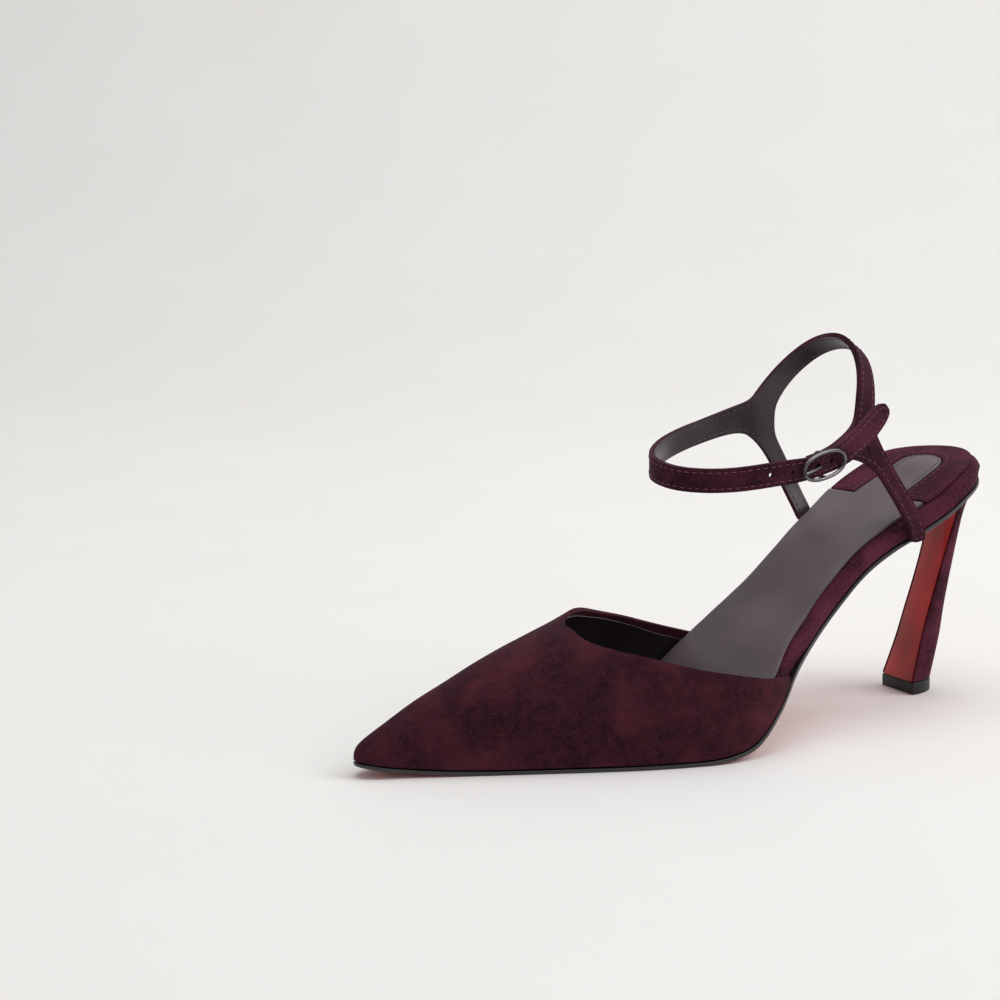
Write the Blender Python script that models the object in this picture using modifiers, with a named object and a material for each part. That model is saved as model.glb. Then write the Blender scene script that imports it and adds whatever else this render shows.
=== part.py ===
"""Ankle strap pump, left shoe: lasted vamp, covered footbed, slim heel, buckled ankle strap.

Metres, +Z up. The toe points to -X, the heel to +X, the outer (buckle) side to -Y.
Pieces are modelled with X counted from the toe tip and Z from the floor. An empty at the
end carries them so that the origin lies at the bottom centre of the whole shoe.
"""

import math

import bmesh
import bpy
from mathutils import Matrix, Vector

# Driving sizes of the last and sole
LENGTH = 0.2495
BALL_WIDTH = 0.0782
SEAT_RISE = 0.0744
INSTEP_RISE = 0.045
SEAT_END = 0.992
TOE_ROUND = 0.0075
SEAT_ROUND = 0.0225
SOLE_THICK = 0.0013
FOREPART_BOARD = 0.0027
WAIST_BOARD = 0.0057
SEAT_BOARD = 0.0067
WAIST_SHOULDER_WIDTH = 0.0030
WAIST_SHOULDER_DROP = 0.0013
SEAT_SHOULDER_WIDTH = 0.0018
SEAT_SHOULDER_DROP = 0.0008
BOARD_EDGE_INSET = 0.0004
BOARD_START = 0.003
SIDE_FADE = 0.012
SOCK_THICK = 0.0009
SOCK_MARGIN = 0.0034
SOCK_TUCK = 0.6
SOCK_START = 0.010
PAD_THICK = 0.0010
PAD_ARM_START = 0.207
PAD_SLANT = 0.20
SLANT_RUN = 0.018
TONGUE_HALF_WIDTH = 0.0095
TONGUE_SHARE = 0.7
TONGUE_END = 0.234

# Driving sizes of the vamp
VAMP_WALL = 0.0016
VAMP_INSET = 0.0005
VAMP_LIFT = 0.0005
VAMP_SQUARENESS = 2.3

# Driving sizes of the heel
TOPLIFT_THICK = 0.0045
HEEL_HALF = 0.0093
HEEL_SIDE = 0.0002
HEEL_DEPTH = 0.0128
HEEL_FRONT_X = 0.2163
BREAST_THICK = 0.0011
BREAST_MARGIN = 0.0008
LIP_HALF_WIDTH = 0.0095
LIP_DEPTH = 0.0110
LIP_LOW_THICK = 0.0010
LIP_HIGH_THICK = 0.0016
LIP_SIDE_SHARE = 0.45
LIP_BELOW_SEAT = 0.0024

# Driving sizes of the strap and buckle
STRAP_THICK = 0.0019
STRAP_WIDTH = 0.0080
OUTER_RUN = 9
ANKLE_WIDTH = 0.060
ANKLE_RISE = 0.100
BUCKLE_LENGTH = 0.0205
BUCKLE_HEIGHT = 0.0099
BUCKLE_WIRE = 0.0013
BUCKLE_PLACE = 0.640
PRONG_WIRE = 0.0011
PRONG_HOLE = 0.0011
SLOT_DEPTH = 0.0035
PUNCH_HOLE = 0.0008
PUNCH_PLACES = (0.557, 0.588, 0.657)

# Clearance between touching pieces, and between the sole and what lies on the footbed
GAP = 0.0003
BED_GAP = 0.0007

# Sole sections, front to back: place / LENGTH, centre / BALL_WIDTH, width / BALL_WIDTH,
# outer edge height / SEAT_RISE, inner edge height / SEAT_RISE
SOLE_ROWS = (
    (0.000, 0.024, 0.130, 0.050, 0.052),
    (0.048, 0.012, 0.218, 0.024, 0.036),
    (0.100, -0.004, 0.336, 0.008, 0.018),
    (0.160, -0.021, 0.478, 0.000, 0.000),
    (0.220, -0.037, 0.625, 0.000, 0.000),
    (0.280, -0.052, 0.772, 0.000, 0.000),
    (0.340, -0.070, 0.900, 0.000, 0.000),
    (0.400, -0.092, 0.980, 0.000, 0.000),
    (0.448, -0.117, 1.000, 0.010, 0.012),
    (0.496, -0.136, 0.955, 0.052, 0.076),
    (0.544, -0.135, 0.850, 0.176, 0.212),
    (0.592, -0.112, 0.700, 0.319, 0.352),
    (0.640, -0.092, 0.580, 0.432, 0.490),
    (0.688, -0.068, 0.540, 0.556, 0.628),
    (0.736, -0.040, 0.562, 0.684, 0.738),
    (0.784, -0.014, 0.608, 0.774, 0.820),
    (0.832, 0.010, 0.648, 0.837, 0.892),
    (0.880, 0.020, 0.655, 0.905, 0.957),
    (0.928, 0.020, 0.615, 0.985, 1.023),
    (1.000, 0.012, 0.540, 1.050, 1.066),
)

# Vamp ridge: place / LENGTH, height / INSTEP_RISE
RIDGE_ROWS = (
    (0.000, 0.180),
    (0.006, 0.226),
    (0.015, 0.262),
    (0.024, 0.290),
    (0.048, 0.365),
    (0.090, 0.495),
    (0.136, 0.612),
    (0.180, 0.722),
    (0.226, 0.820),
    (0.260, 0.882),
    (0.286, 0.930),
    (0.310, 0.975),
    (0.360, 1.090),
    (0.416, 1.220),
    (0.472, 1.320),
    (0.528, 1.380),
    (0.600, 1.400),
)

# Topline from the outer end (-1) round the throat (0) to the inner end (1):
# turn, place / LENGTH, height / INSTEP_RISE
TOPLINE_ROWS = (
    (-1.00, 0.569, 0.524),
    (-0.80, 0.520, 0.572),
    (-0.65, 0.466, 0.640),
    (-0.50, 0.414, 0.706),
    (-0.35, 0.362, 0.790),
    (-0.22, 0.328, 0.839),
    (-0.12, 0.307, 0.878),
    (-0.05, 0.2985, 0.912),
    (0.00, 0.300, 0.955),
    (0.10, 0.311, 0.968),
    (0.22, 0.334, 0.978),
    (0.35, 0.368, 0.955),
    (0.50, 0.412, 0.878),
    (0.65, 0.460, 0.796),
    (0.80, 0.516, 0.690),
    (1.00, 0.572, 0.596),
)

# Heel sections from the toplift up: share of the rise, shift of the front edge / HEEL_DEPTH,
# depth / HEEL_DEPTH, half width of the front / HEEL_HALF
HEEL_ROWS = (
    (0.00, 0.04, 1.02, 0.99),
    (0.21, 0.41, 0.99, 0.84),
    (0.36, 0.67, 0.88, 0.79),
    (0.50, 0.95, 0.76, 0.77),
    (0.65, 1.24, 0.65, 0.78),
    (0.76, 1.43, 0.57, 0.85),
    (0.85, 1.54, 0.55, 0.97),
    (0.93, 1.55, 0.70, 1.20),
    (1.00, 1.25, 1.29, 1.60),
)


def track(rows, column, share):
    """Smooth value of one column of a table at a share of its first column."""
    last = len(rows) - 1
    if share <= rows[0][0]:
        return rows[0][column]
    if share >= rows[last][0]:
        return rows[last][column]
    low = max(i for i in range(last) if rows[i][0] <= share)
    high = low + 1

    def slope(i):
        before, after = max(i - 1, 0), min(i + 1, last)
        return (rows[after][column] - rows[before][column]) / (rows[after][0] - rows[before][0])

    span = rows[high][0] - rows[low][0]
    t = (share - rows[low][0]) / span
    rise = rows[high][column] - rows[low][column]
    a = slope(low) * span - rise
    b = -slope(high) * span + rise
    return rows[low][column] + rise * t + t * (1 - t) * (a * (1 - t) + b * t)


def centre(x):
    return track(SOLE_ROWS, 1, x / LENGTH) * BALL_WIDTH


def full_half_width(x):
    return track(SOLE_ROWS, 2, x / LENGTH) * BALL_WIDTH / 2


def end_round(distance, reach):
    """1 away from an end, falling on a quarter ellipse to 0 at the end itself."""
    if distance >= reach:
        return 1.0
    near = max(distance, 0.0) / reach
    return math.sqrt(max(0.0, 1 - (1 - near) ** 2))


def half_width(x, inset=0.0, start=0.0, end=LENGTH):
    """Half width of the outline drawn in by inset, between a rounded start and end."""
    ends = end_round(x - start, TOE_ROUND) * end_round(end - x, SEAT_ROUND)
    return max(full_half_width(x) - inset, 0.0) * ends


def sole_bottom(x, y):
    """Height of the underside of the sole."""
    half = full_half_width(x)
    across = min(max((y - centre(x) + half) / (2 * half), 0.0), 1.0)
    outer = track(SOLE_ROWS, 3, x / LENGTH)
    inner = track(SOLE_ROWS, 4, x / LENGTH)
    return max(outer + (inner - outer) * across, 0.0) * SEAT_RISE


def steepness(x):
    """Length of sole per length of floor, so that a thickness holds on the slope."""
    step = 0.002
    rise = sole_bottom(x + step, centre(x)) - sole_bottom(x - step, centre(x))
    return math.hypot(1.0, rise / (2 * step))


def above_sole(x, y, lift):
    return sole_bottom(x, y) + lift * steepness(x)


def board_thick(x):
    """Thickness of the footbed: thin inside the vamp, full from the waist back."""
    share = x / LENGTH
    rows = (
        (0.00, FOREPART_BOARD),
        (0.40, FOREPART_BOARD),
        (0.56, WAIST_BOARD),
        (0.74, WAIST_BOARD),
        (0.90, SEAT_BOARD),
        (1.00, SEAT_BOARD),
    )
    return track(rows, 1, share)


def spread(start, end, count):
    return [start + (end - start) * i / (count - 1) for i in range(count)]


def stations(toe_rows, middle_rows, seat_rows):
    """Places along the shoe as shares, crowded where the outline rounds off."""
    toe_share = TOE_ROUND / LENGTH
    seat_share = 1 - SEAT_ROUND / LENGTH
    toe = [toe_share * (1 - math.cos(a)) for a in spread(0, math.pi / 2, toe_rows)]
    middle = spread(toe_share, seat_share, middle_rows)[1:-1]
    seat = [seat_share + (1 - seat_share) * math.sin(a) for a in spread(0, math.pi / 2, seat_rows)]
    return toe + middle + seat


def new_object(name, bm, material, smooth_angle=40):
    bmesh.ops.recalc_face_normals(bm, faces=bm.faces)
    mesh = bpy.data.meshes.new(name)
    bm.to_mesh(mesh)
    bm.free()
    mesh.materials.append(material)
    mesh.shade_smooth()
    mesh.set_sharp_from_angle(angle=math.radians(smooth_angle))
    thing = bpy.data.objects.new(name, mesh)
    pump.objects.link(thing)
    return thing


def new_material(name, colour, roughness, metallic=0.0):
    material = bpy.data.materials.new(name)
    material.use_nodes = True
    shader = material.node_tree.nodes["Principled BSDF"]
    shader.inputs["Base Color"].default_value = (*colour, 1)
    shader.inputs["Roughness"].default_value = roughness
    shader.inputs["Metallic"].default_value = metallic
    return material


def ring_points(shares, start, end, inset, lift):
    """One closed ring of a plate: outer side from toe to seat, then the inner side back.

    inset(x) draws the ring in from the sole's edge and lift(x) raises it off the sole.
    """
    outer, inner = [], []
    for share in shares:
        x = start + (end - start) * share
        pulled = inset(x)
        reach = 0.16 * (end - start)
        x += pulled * max(0.0, 1 - (x - start) / reach)
        x -= pulled * max(0.0, 1 - (end - x) / reach)
        side = half_width(x, pulled, start + pulled, end - pulled)
        y = centre(x)
        outer.append(Vector((x, y - side, above_sole(x, y - side, lift(x)))))
        inner.append(Vector((x, y + side, above_sole(x, y + side, lift(x)))))
    return outer, inner


def plate(name, material, shares, start, end, rings):
    """Closed plate on the sole's surface from rings listed bottom middle, edge, top middle."""
    bm = bmesh.new()
    loops = []
    for inset, lift in rings:
        outer, inner = ring_points(shares, start, end, inset, lift)
        tip = bm.verts.new((outer[0] + inner[0]) / 2)
        tail = bm.verts.new((outer[-1] + inner[-1]) / 2)
        left = [tip] + [bm.verts.new(p) for p in outer[1:-1]] + [tail]
        right = [tip] + [bm.verts.new(p) for p in inner[1:-1]] + [tail]
        loops.append((left, right))
    for (left_a, right_a), (left_b, right_b) in zip(loops, loops[1:]):
        for i in range(len(shares) - 1):
            bm.faces.new((left_a[i], left_a[i + 1], left_b[i + 1], left_b[i]))
            bm.faces.new((right_a[i + 1], right_a[i], right_b[i], right_b[i + 1]))
    for left, right in (loops[0], loops[-1]):
        strip_faces(bm, left, right)
    return new_object(name, bm, material)


def make_outsole():
    def same(value):
        return lambda x: value

    rings = (
        (same(0.0005), same(0.0)),
        (same(0.0), same(0.0004)),
        (same(0.0), same(SOLE_THICK)),
    )
    return plate("outsole", black_edge, stations(6, 36, 8), 0.0, LENGTH * SEAT_END, rings)


def vamp_end():
    """Where the footbed starts to widen behind the vamp, and where it has its full width."""
    back = TOPLINE_ROWS[-1][1] * LENGTH
    return back + GAP, back + GAP + SIDE_FADE


def board_side(x):
    """Extra inset of the footbed inside the vamp, which fades out behind it."""
    inside = VAMP_INSET + VAMP_WALL + 2 * GAP
    start, end = vamp_end()
    return inside * min(1.0, max(0.0, (end - x) / (end - start)))


def shoulder(x):
    """Width and drop of the slope round the footbed's top, which is narrower at the seat."""
    seat = track(((0.76, 0.0), (0.86, 1.0)), 1, x / LENGTH)
    width = WAIST_SHOULDER_WIDTH + (SEAT_SHOULDER_WIDTH - WAIST_SHOULDER_WIDTH) * seat
    drop = WAIST_SHOULDER_DROP + (SEAT_SHOULDER_DROP - WAIST_SHOULDER_DROP) * seat
    return width, drop * board_thick(x) / SEAT_BOARD


def make_footbed():
    floor = SOLE_THICK + GAP

    def edge(extra):
        return lambda x: BOARD_EDGE_INSET + extra + board_side(x)

    def shoulder_lift(x):
        return floor + board_thick(x) - shoulder(x)[1]

    rings = (
        (edge(0.0006), lambda x: floor),
        (edge(0.0), lambda x: floor + 0.0004),
        (edge(0.0), lambda x: shoulder_lift(x) - 0.0004),
        (edge(0.0004), shoulder_lift),
        (lambda x: edge(shoulder(x)[0])(x), lambda x: floor + board_thick(x)),
    )
    start, end = BOARD_START, LENGTH * SEAT_END
    steps = [(x - start) / (end - start) for x in vamp_end()]
    shares = [s for s in stations(6, 38, 8) if min(abs(s - step) for step in steps) > 0.008]
    return plate("footbed", suede, sorted(shares + steps), start, end, rings)


def join_rows(bm, rows):
    """Fills an open sheet between neighbouring rows of corners."""
    for a, b in zip(rows, rows[1:]):
        for i in range(len(a) - 1):
            bm.faces.new((a[i], b[i], b[i + 1], a[i + 1]))


def on_footbed(x, y):
    """Point just clear of the footbed's top."""
    return Vector((x, y, above_sole(x, y, SOLE_THICK + BED_GAP + board_thick(x))))


def sock_front():
    """Where the sock's full width ends, just before the pad's arms."""
    return PAD_ARM_START - 2 * GAP


def slanted_row(x, across):
    """Points across the sock, which slant like the pad's front line when they are near it."""
    lean = max(0.0, 1 - abs(x - sock_front()) / SLANT_RUN)
    return [on_footbed(x - PAD_SLANT * y * lean, centre(x) + y) for y in across]


def sock_row(x, strip, middle):
    """Full row of the sock: strip spans to its edge on each side of the middle spans."""
    side = half_width(x, SOCK_MARGIN + board_side(x) * SOCK_TUCK, SOCK_START, LENGTH)
    tongue = min(TONGUE_HALF_WIDTH, side * TONGUE_SHARE)
    edge = spread(tongue, side, strip + 1)[1:]
    return slanted_row(x, [-y for y in reversed(edge)] + spread(-tongue, tongue, middle + 1) + edge)


def tongue_row(x, middle):
    """Row of the sock's tongue between the pad's arms."""
    side = TONGUE_HALF_WIDTH * end_round(TONGUE_END - x, TONGUE_HALF_WIDTH)
    return slanted_row(x, spread(-side, side, middle + 1))


def tongue_places(straight, turned):
    """Places along the tongue, crowded round its end."""
    root = TONGUE_END - TONGUE_HALF_WIDTH
    places = spread(sock_front(), root, straight + 1)[1:]
    return places + [root + TONGUE_HALF_WIDTH * math.sin(a) for a in spread(0, 1.5, turned + 1)[1:]]


def make_sock():
    """Grey lining over the footbed, from under the toes to a round tongue at the heel."""
    bm = bmesh.new()
    strip, middle = 3, 4
    full = [sock_row(x, strip, middle) for x in spread(SOCK_START + 0.002, sock_front(), 37)]
    rows = [[bm.verts.new(p) for p in row] for row in full]
    join_rows(bm, rows)
    tongue = [rows[-1][strip:strip + middle + 1]]
    tongue += [[bm.verts.new(p) for p in tongue_row(x, middle)] for x in tongue_places(5, 6)]
    join_rows(bm, tongue)
    thing = new_object("sock", bm, grey_leather)
    add_solidify(thing, SOCK_THICK, 1)
    return thing


def add_solidify(thing, thickness, offset):
    modifier = thing.modifiers.new("wall", "SOLIDIFY")
    modifier.thickness = thickness
    modifier.offset = offset
    return modifier


def pad_edges(turn):
    """Inner and outer place of the pad: -1 at its outer arm's end, 0 at the back, 1 at the inner arm's."""
    margin = BOARD_EDGE_INSET + SEAT_SHOULDER_WIDTH + GAP
    hole = TONGUE_HALF_WIDTH + 2 * GAP
    end = LENGTH * SEAT_END - margin
    round_start = TONGUE_END - TONGUE_HALF_WIDTH

    def outer_side(x):
        return math.copysign(half_width(x, margin, 0.0, end), turn)

    def arm_place(y):
        reach = round_start - PAD_ARM_START + PAD_SLANT * y
        return round_start - (abs(turn) - 0.5) * 2 * reach

    if abs(turn) > 0.5:
        y_in = math.copysign(hole, turn)
        x_in = arm_place(y_in)
        x_out = arm_place(outer_side(x_in))
    else:
        x_in = round_start + hole * math.cos(turn * math.pi)
        y_in = hole * math.sin(turn * math.pi)
        x_out = round_start + (end - round_start) * math.cos(turn * math.pi)
    return Vector((x_in, centre(x_in) + y_in)), Vector((x_out, centre(x_out) + outer_side(x_out)))


def make_heel_pad():
    """Suede U round the sock's tongue on the heel seat."""
    bm = bmesh.new()
    rows = []
    for turn in spread(-1, 1, 25):
        inner, outer = pad_edges(turn)
        rows.append([bm.verts.new(on_footbed(*inner.lerp(outer, k))) for k in spread(0, 1, 4)])
    join_rows(bm, rows)
    thing = new_object("heel_pad", bm, suede)
    add_solidify(thing, PAD_THICK, 1)
    return thing


def arch_point(x, angle):
    """Point of the vamp's outer face on the arch over the foot at one place."""
    power = 2 / VAMP_SQUARENESS
    side = half_width(x, VAMP_INSET)
    y = centre(x) - math.copysign(abs(math.cos(angle)) ** power, math.cos(angle)) * side
    floor = SOLE_THICK + VAMP_LIFT
    base = above_sole(x, y, floor)
    rise = track(RIDGE_ROWS, 1, x / LENGTH) * INSTEP_RISE - above_sole(x, centre(x), floor)
    return Vector((x, y, base + max(rise, 0.0) * abs(math.sin(angle)) ** power))


def topline_angle(x, height, outer_side):
    """Angle on the arch at which the vamp reaches a height."""
    low, high = (0.0, math.pi / 2) if outer_side else (math.pi, math.pi / 2)
    for _ in range(40):
        middle = (low + high) / 2
        if arch_point(x, middle).z < height:
            low = middle
        else:
            high = middle
    return (low + high) / 2


def make_vamp():
    """Lasted upper over the toes: an open arch surface with a real wall."""
    bm = bmesh.new()
    ends = []
    turns = spread(-1, 1, 31)
    for turn in turns:
        x = track(TOPLINE_ROWS, 1, turn) * LENGTH
        height = track(TOPLINE_ROWS, 2, turn) * INSTEP_RISE
        angle = math.pi / 2 if turn == 0 else topline_angle(x, height, turn < 0)
        ends.append((x, angle))
    first, last = ends[0], ends[-1]
    edge = [(first[0], first[1] * k / 2) for k in (0, 1)]
    far_edge = [(last[0], math.pi - (math.pi - last[1]) * k / 2) for k in (1, 0)]
    ends = edge + ends + far_edge
    row_count = 22
    toe_x = 0.0003
    columns = []
    for x_end, angle in ends:
        column = []
        for i in range(row_count + 1):
            x = toe_x + (x_end - toe_x) * (i / row_count) ** 1.6
            column.append(bm.verts.new(arch_point(x, angle)))
        columns.append(column)
    for a, b in zip(columns, columns[1:]):
        for i in range(row_count):
            bm.faces.new((a[i], a[i + 1], b[i + 1], b[i]))
    bm.faces.new([column[0] for column in columns])
    thing = new_object("vamp", bm, suede, 60)
    add_solidify(thing, VAMP_WALL, -1)
    return thing


HEEL_LEVELS = (0, 0.1, 0.2, 0.32, 0.45, 0.55, 0.65, 0.73, 0.8, 0.86, 0.91, 0.96, 1.0)


def heel_section(share):
    """Place of the front edge, depth and half width of the heel at a share of its rise."""
    front_x = HEEL_FRONT_X + track(HEEL_ROWS, 1, share) * HEEL_DEPTH
    return front_x, track(HEEL_ROWS, 2, share) * HEEL_DEPTH, track(HEEL_ROWS, 3, share) * HEEL_HALF


def heel_back(front_x, depth, half):
    """Round back of a heel section, from the inner side to the outer side."""
    turns = [math.radians(a) for a in spread(65, -65, 6)]
    return [(front_x + depth * math.cos(a), HEEL_SIDE + half * math.sin(a)) for a in turns]


def heel_ring(share):
    """Outline of the heel with the pocket for the breast in its flat front."""
    front_x, depth, half = heel_section(share)
    floor_x = front_x + BREAST_THICK + GAP
    pocket = half - BREAST_MARGIN
    front = [(front_x, HEEL_SIDE - half), (front_x, HEEL_SIDE - pocket)]
    front += [(floor_x, HEEL_SIDE + pocket * k) for k in spread(-1, 1, 5)]
    front += [(front_x, HEEL_SIDE + pocket), (front_x, HEEL_SIDE + half)]
    return front + heel_back(front_x, depth, half)


def strip_faces(bm, near, far):
    """Fills between two equally long rows of corners whose ends may be shared."""
    for i in range(len(near) - 1):
        corners = [near[i], near[i + 1], far[i + 1], far[i]]
        unique = [v for k, v in enumerate(corners) if v not in corners[:k]]
        bm.faces.new(unique)


def loft(name, rings, material, caps, smooth_angle=40):
    """Closed solid through rings of equal point counts.

    caps holds the two rows of point numbers between which both ends are filled.
    """
    bm = bmesh.new()
    loops = [[bm.verts.new(p) for p in ring] for ring in rings]
    count = len(loops[0])
    for a, b in zip(loops, loops[1:]):
        for i in range(count):
            j = (i + 1) % count
            bm.faces.new((a[i], a[j], b[j], b[i]))
    near, far = caps
    for loop in (loops[0], loops[-1]):
        strip_faces(bm, [loop[i] for i in near], [loop[i] for i in far])
    return new_object(name, bm, material, smooth_angle)


HEEL_CAPS = ((0, 1, 2, 3, 4, 4, 5, 6, 7, 8), (14, 14, 14, 13, 12, 11, 10, 9, 9, 9))
TOPLIFT_CAPS = ((0, 7, 6, 5), (1, 2, 3, 4))
BREAST_CAPS = ((0, 1, 2, 3, 4), (9, 8, 7, 6, 5))
LIP_CAPS = ((0, 1), (3, 2))


def make_heel():
    """Suede-covered block whose back is carried up behind the seat."""
    rings = []
    bottom = TOPLIFT_THICK + GAP
    for share in HEEL_LEVELS:
        ring = []
        for x, y in heel_ring(share):
            top = sole_bottom(x, y) - GAP
            ring.append((x, y, bottom + (top - bottom) * share))
        rings.append(ring)
    heel = loft("heel", rings, suede, HEEL_CAPS)
    join = heel.modifiers.new("lip", "BOOLEAN")
    join.operation = "UNION"
    join.object = make_heel_lip()
    return heel


def make_heel_lip():
    """Upstand at the back of the heel, bent round the end of the seat."""
    end = LENGTH * SEAT_END
    half = full_half_width(end)
    seat_top = above_sole(end, centre(end), SOLE_THICK + GAP + SEAT_BOARD)
    rings = []
    for k in spread(-1, 1, 9):
        y = centre(end) + k * LIP_HALF_WIDTH
        bow = SEAT_ROUND * (1 - math.sqrt(1 - (k * LIP_HALF_WIDTH / half) ** 2))
        front = end + GAP - bow
        taper = 1 - LIP_SIDE_SHARE * k * k
        low = seat_top - LIP_DEPTH * taper
        high = seat_top - LIP_BELOW_SEAT * (1 + k * k)
        low_back = front + LIP_LOW_THICK * taper
        high_back = front + LIP_HIGH_THICK * taper
        rings.append([(front, y, low), (low_back, y, low), (high_back, y, high), (front, y, high)])
    return as_cutter(loft("heel_lip", rings, suede, LIP_CAPS))


def as_cutter(thing):
    """Keeps a helper solid out of the model proper."""
    pump.objects.unlink(thing)
    cutters.objects.link(thing)
    thing.hide_render = True
    thing.display_type = "WIRE"
    return thing


def make_heel_breast():
    """Lacquered plate let into the front of the heel."""
    rings = []
    bottom = TOPLIFT_THICK + GAP
    for share in HEEL_LEVELS:
        front_x, _, half = heel_section(share)
        half -= BREAST_MARGIN + GAP
        ring = [(front_x, HEEL_SIDE + half * k) for k in spread(-1, 1, 5)]
        ring += [(front_x + BREAST_THICK, HEEL_SIDE + half * k) for k in spread(1, -1, 5)]
        placed = []
        for x, y in ring:
            top = sole_bottom(x, y) - GAP
            placed.append((x, y, bottom + (top - bottom) * share))
        rings.append(placed)
    return loft("heel_breast", rings, red_lacquer, BREAST_CAPS)


def make_toplift():
    front_x, depth, half = heel_section(0)
    outline = [(front_x, HEEL_SIDE - half), (front_x, HEEL_SIDE + half)]
    outline += heel_back(front_x, depth, half)
    rings = [[(x, y, z) for x, y in outline] for z in (0.0, TOPLIFT_THICK)]
    return loft("toplift", rings, hard_rubber, TOPLIFT_CAPS)


# Strap rows: place / LENGTH, side / ANKLE_WIDTH, height / ANKLE_RISE, width / STRAP_WIDTH, lean in degrees.
# The lean turns the width direction from upright (0) to level, front edge first (90).
OUTER_JUNCTION = ((0.745, -0.317, 0.980), (0.765, -0.303, 1.005), (0.726, -0.337, 1.028), (0.717, -0.367, 0.923))
INNER_JUNCTION = ((0.709, 0.522, 1.004), (0.733, 0.520, 0.996), (0.697, 0.537, 1.070), (0.692, 0.523, 0.944))
OUTER_LEG_ROWS = (
    (0.763, -0.347, 0.915, 0.90, 80),
    (0.776, -0.373, 0.860, 0.80, 76),
    (0.788, -0.393, 0.805, 0.78, 76),
    (0.799, -0.413, 0.755, 0.78, 76),
    (0.808, -0.427, 0.710, 0.78, 76),
    (0.814, -0.436, 0.675, 0.78, 76),
    (0.817, -0.442, 0.645, 0.78, 76),
    (0.819, -0.447, 0.612, 0.74, 76),
)
INNER_LEG_ROWS = (
    (0.719, 0.510, 0.925, 0.90, 76),
    (0.730, 0.493, 0.875, 0.80, 76),
    (0.740, 0.477, 0.820, 0.78, 76),
    (0.749, 0.453, 0.765, 0.78, 76),
    (0.756, 0.425, 0.715, 0.78, 76),
    (0.763, 0.392, 0.665, 0.78, 76),
    (0.767, 0.376, 0.632, 0.78, 76),
)
COLLAR_ROWS = (
    (0.755, -0.282, 1.055, 1.10, 55),
    (0.763, -0.237, 1.095, 1.00, 55),
    (0.773, -0.188, 1.142, 0.95, 53),
    (0.782, -0.130, 1.186, 0.93, 51),
    (0.791, -0.050, 1.232, 0.93, 51),
    (0.797, 0.050, 1.270, 0.93, 51),
    (0.799, 0.167, 1.290, 0.93, 51),
    (0.792, 0.283, 1.284, 0.93, 51),
    (0.782, 0.390, 1.256, 0.93, 51),
    (0.768, 0.473, 1.210, 0.94, 51),
    (0.752, 0.520, 1.162, 0.96, 52),
    (0.734, 0.538, 1.108, 1.05, 53),
    (0.721, 0.537, 1.065, 1.20, 54),
)
FRONT_STRAP_ROWS = (
    (0.674, 0.553, 1.004, 1.20, 8),
    (0.648, 0.577, 0.988, 1.04, 8),
    (0.614, 0.563, 0.970, 1.00, 5),
    (0.580, 0.523, 0.957, 1.00, 4),
    (0.548, 0.467, 0.943, 1.00, 3),
    (0.517, 0.380, 0.930, 1.00, 2),
    (0.488, 0.250, 0.922, 1.00, 0),
    (0.464, 0.108, 0.918, 1.00, 0),
    (0.450, -0.017, 0.916, 1.00, 0),
    (0.446, -0.133, 0.910, 1.00, 0),
    (0.452, -0.242, 0.902, 1.00, 0),
    (0.470, -0.338, 0.898, 1.00, 0),
    (0.496, -0.427, 0.898, 1.00, 0),
    (0.526, -0.490, 0.904, 1.00, 2),
    (0.558, -0.527, 0.913, 1.00, 4),
    (0.590, -0.540, 0.918, 1.00, 6),
    (0.616, -0.533, 0.921, 0.91, 8),
    (0.640, -0.518, 0.928, 0.85, 12),
    (0.665, -0.497, 0.941, 0.91, 18),
    (0.690, -0.470, 0.961, 1.00, 26),
    (0.716, -0.440, 0.991, 1.00, 30),
    (0.742, -0.407, 1.030, 1.00, 34),
    (0.766, -0.377, 1.072, 0.86, 36),
    (0.775, -0.366, 1.090, 0.50, 36),
)
TAB_ROWS = (
    (0.697, -0.393, 0.959, 0.92, 24),
    (0.675, -0.423, 0.945, 0.80, 20),
    (0.655, -0.443, 0.936, 0.76, 16),
    (0.641, -0.455, 0.929, 0.76, 12),
    (0.630, -0.455, 0.925, 0.76, 12),
    (0.631, -0.486, 0.925, 0.76, 12),
)


def strap_place(row):
    return Vector((row[0] * LENGTH, row[1] * ANKLE_WIDTH, row[2] * ANKLE_RISE))


def band(bm, root, rows):
    """Strip of three points across from the root row outward; root is (left, middle, right)."""
    places = [root[1].co.copy()] + [strap_place(row) for row in rows]
    lines = [root]
    for i, row in enumerate(rows, start=1):
        ahead = places[min(i + 1, len(places) - 1)] - places[i - 1]
        lean = math.radians(row[4])
        up = Vector((-math.sin(lean), 0.0, math.cos(lean)))
        up -= ahead.normalized() * up.dot(ahead.normalized())
        half = up.normalized() * row[3] * STRAP_WIDTH / 2
        lines.append([bm.verts.new(places[i] + half * k) for k in (1, 0, -1)])
    for a, b in zip(lines, lines[1:]):
        bm.faces.new((a[0], b[0], b[1], a[1]))
        bm.faces.new((a[1], b[1], b[2], a[2]))
    return lines[-1]


def junction(bm, places):
    """Meeting of three bands: middle, back corner, upper corner, lower front corner."""
    middle, back, upper, lower = [bm.verts.new(strap_place(p)) for p in places]

    def between(a, b):
        return bm.verts.new((a.co + b.co) / 2)

    down, rear, front = between(lower, back), between(back, upper), between(upper, lower)
    bm.faces.new((middle, down, back, rear))
    bm.faces.new((middle, rear, upper, front))
    bm.faces.new((middle, front, lower, down))
    return {"leg": (lower, down, back), "collar": (upper, rear, back), "front": (upper, front, lower)}


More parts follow.
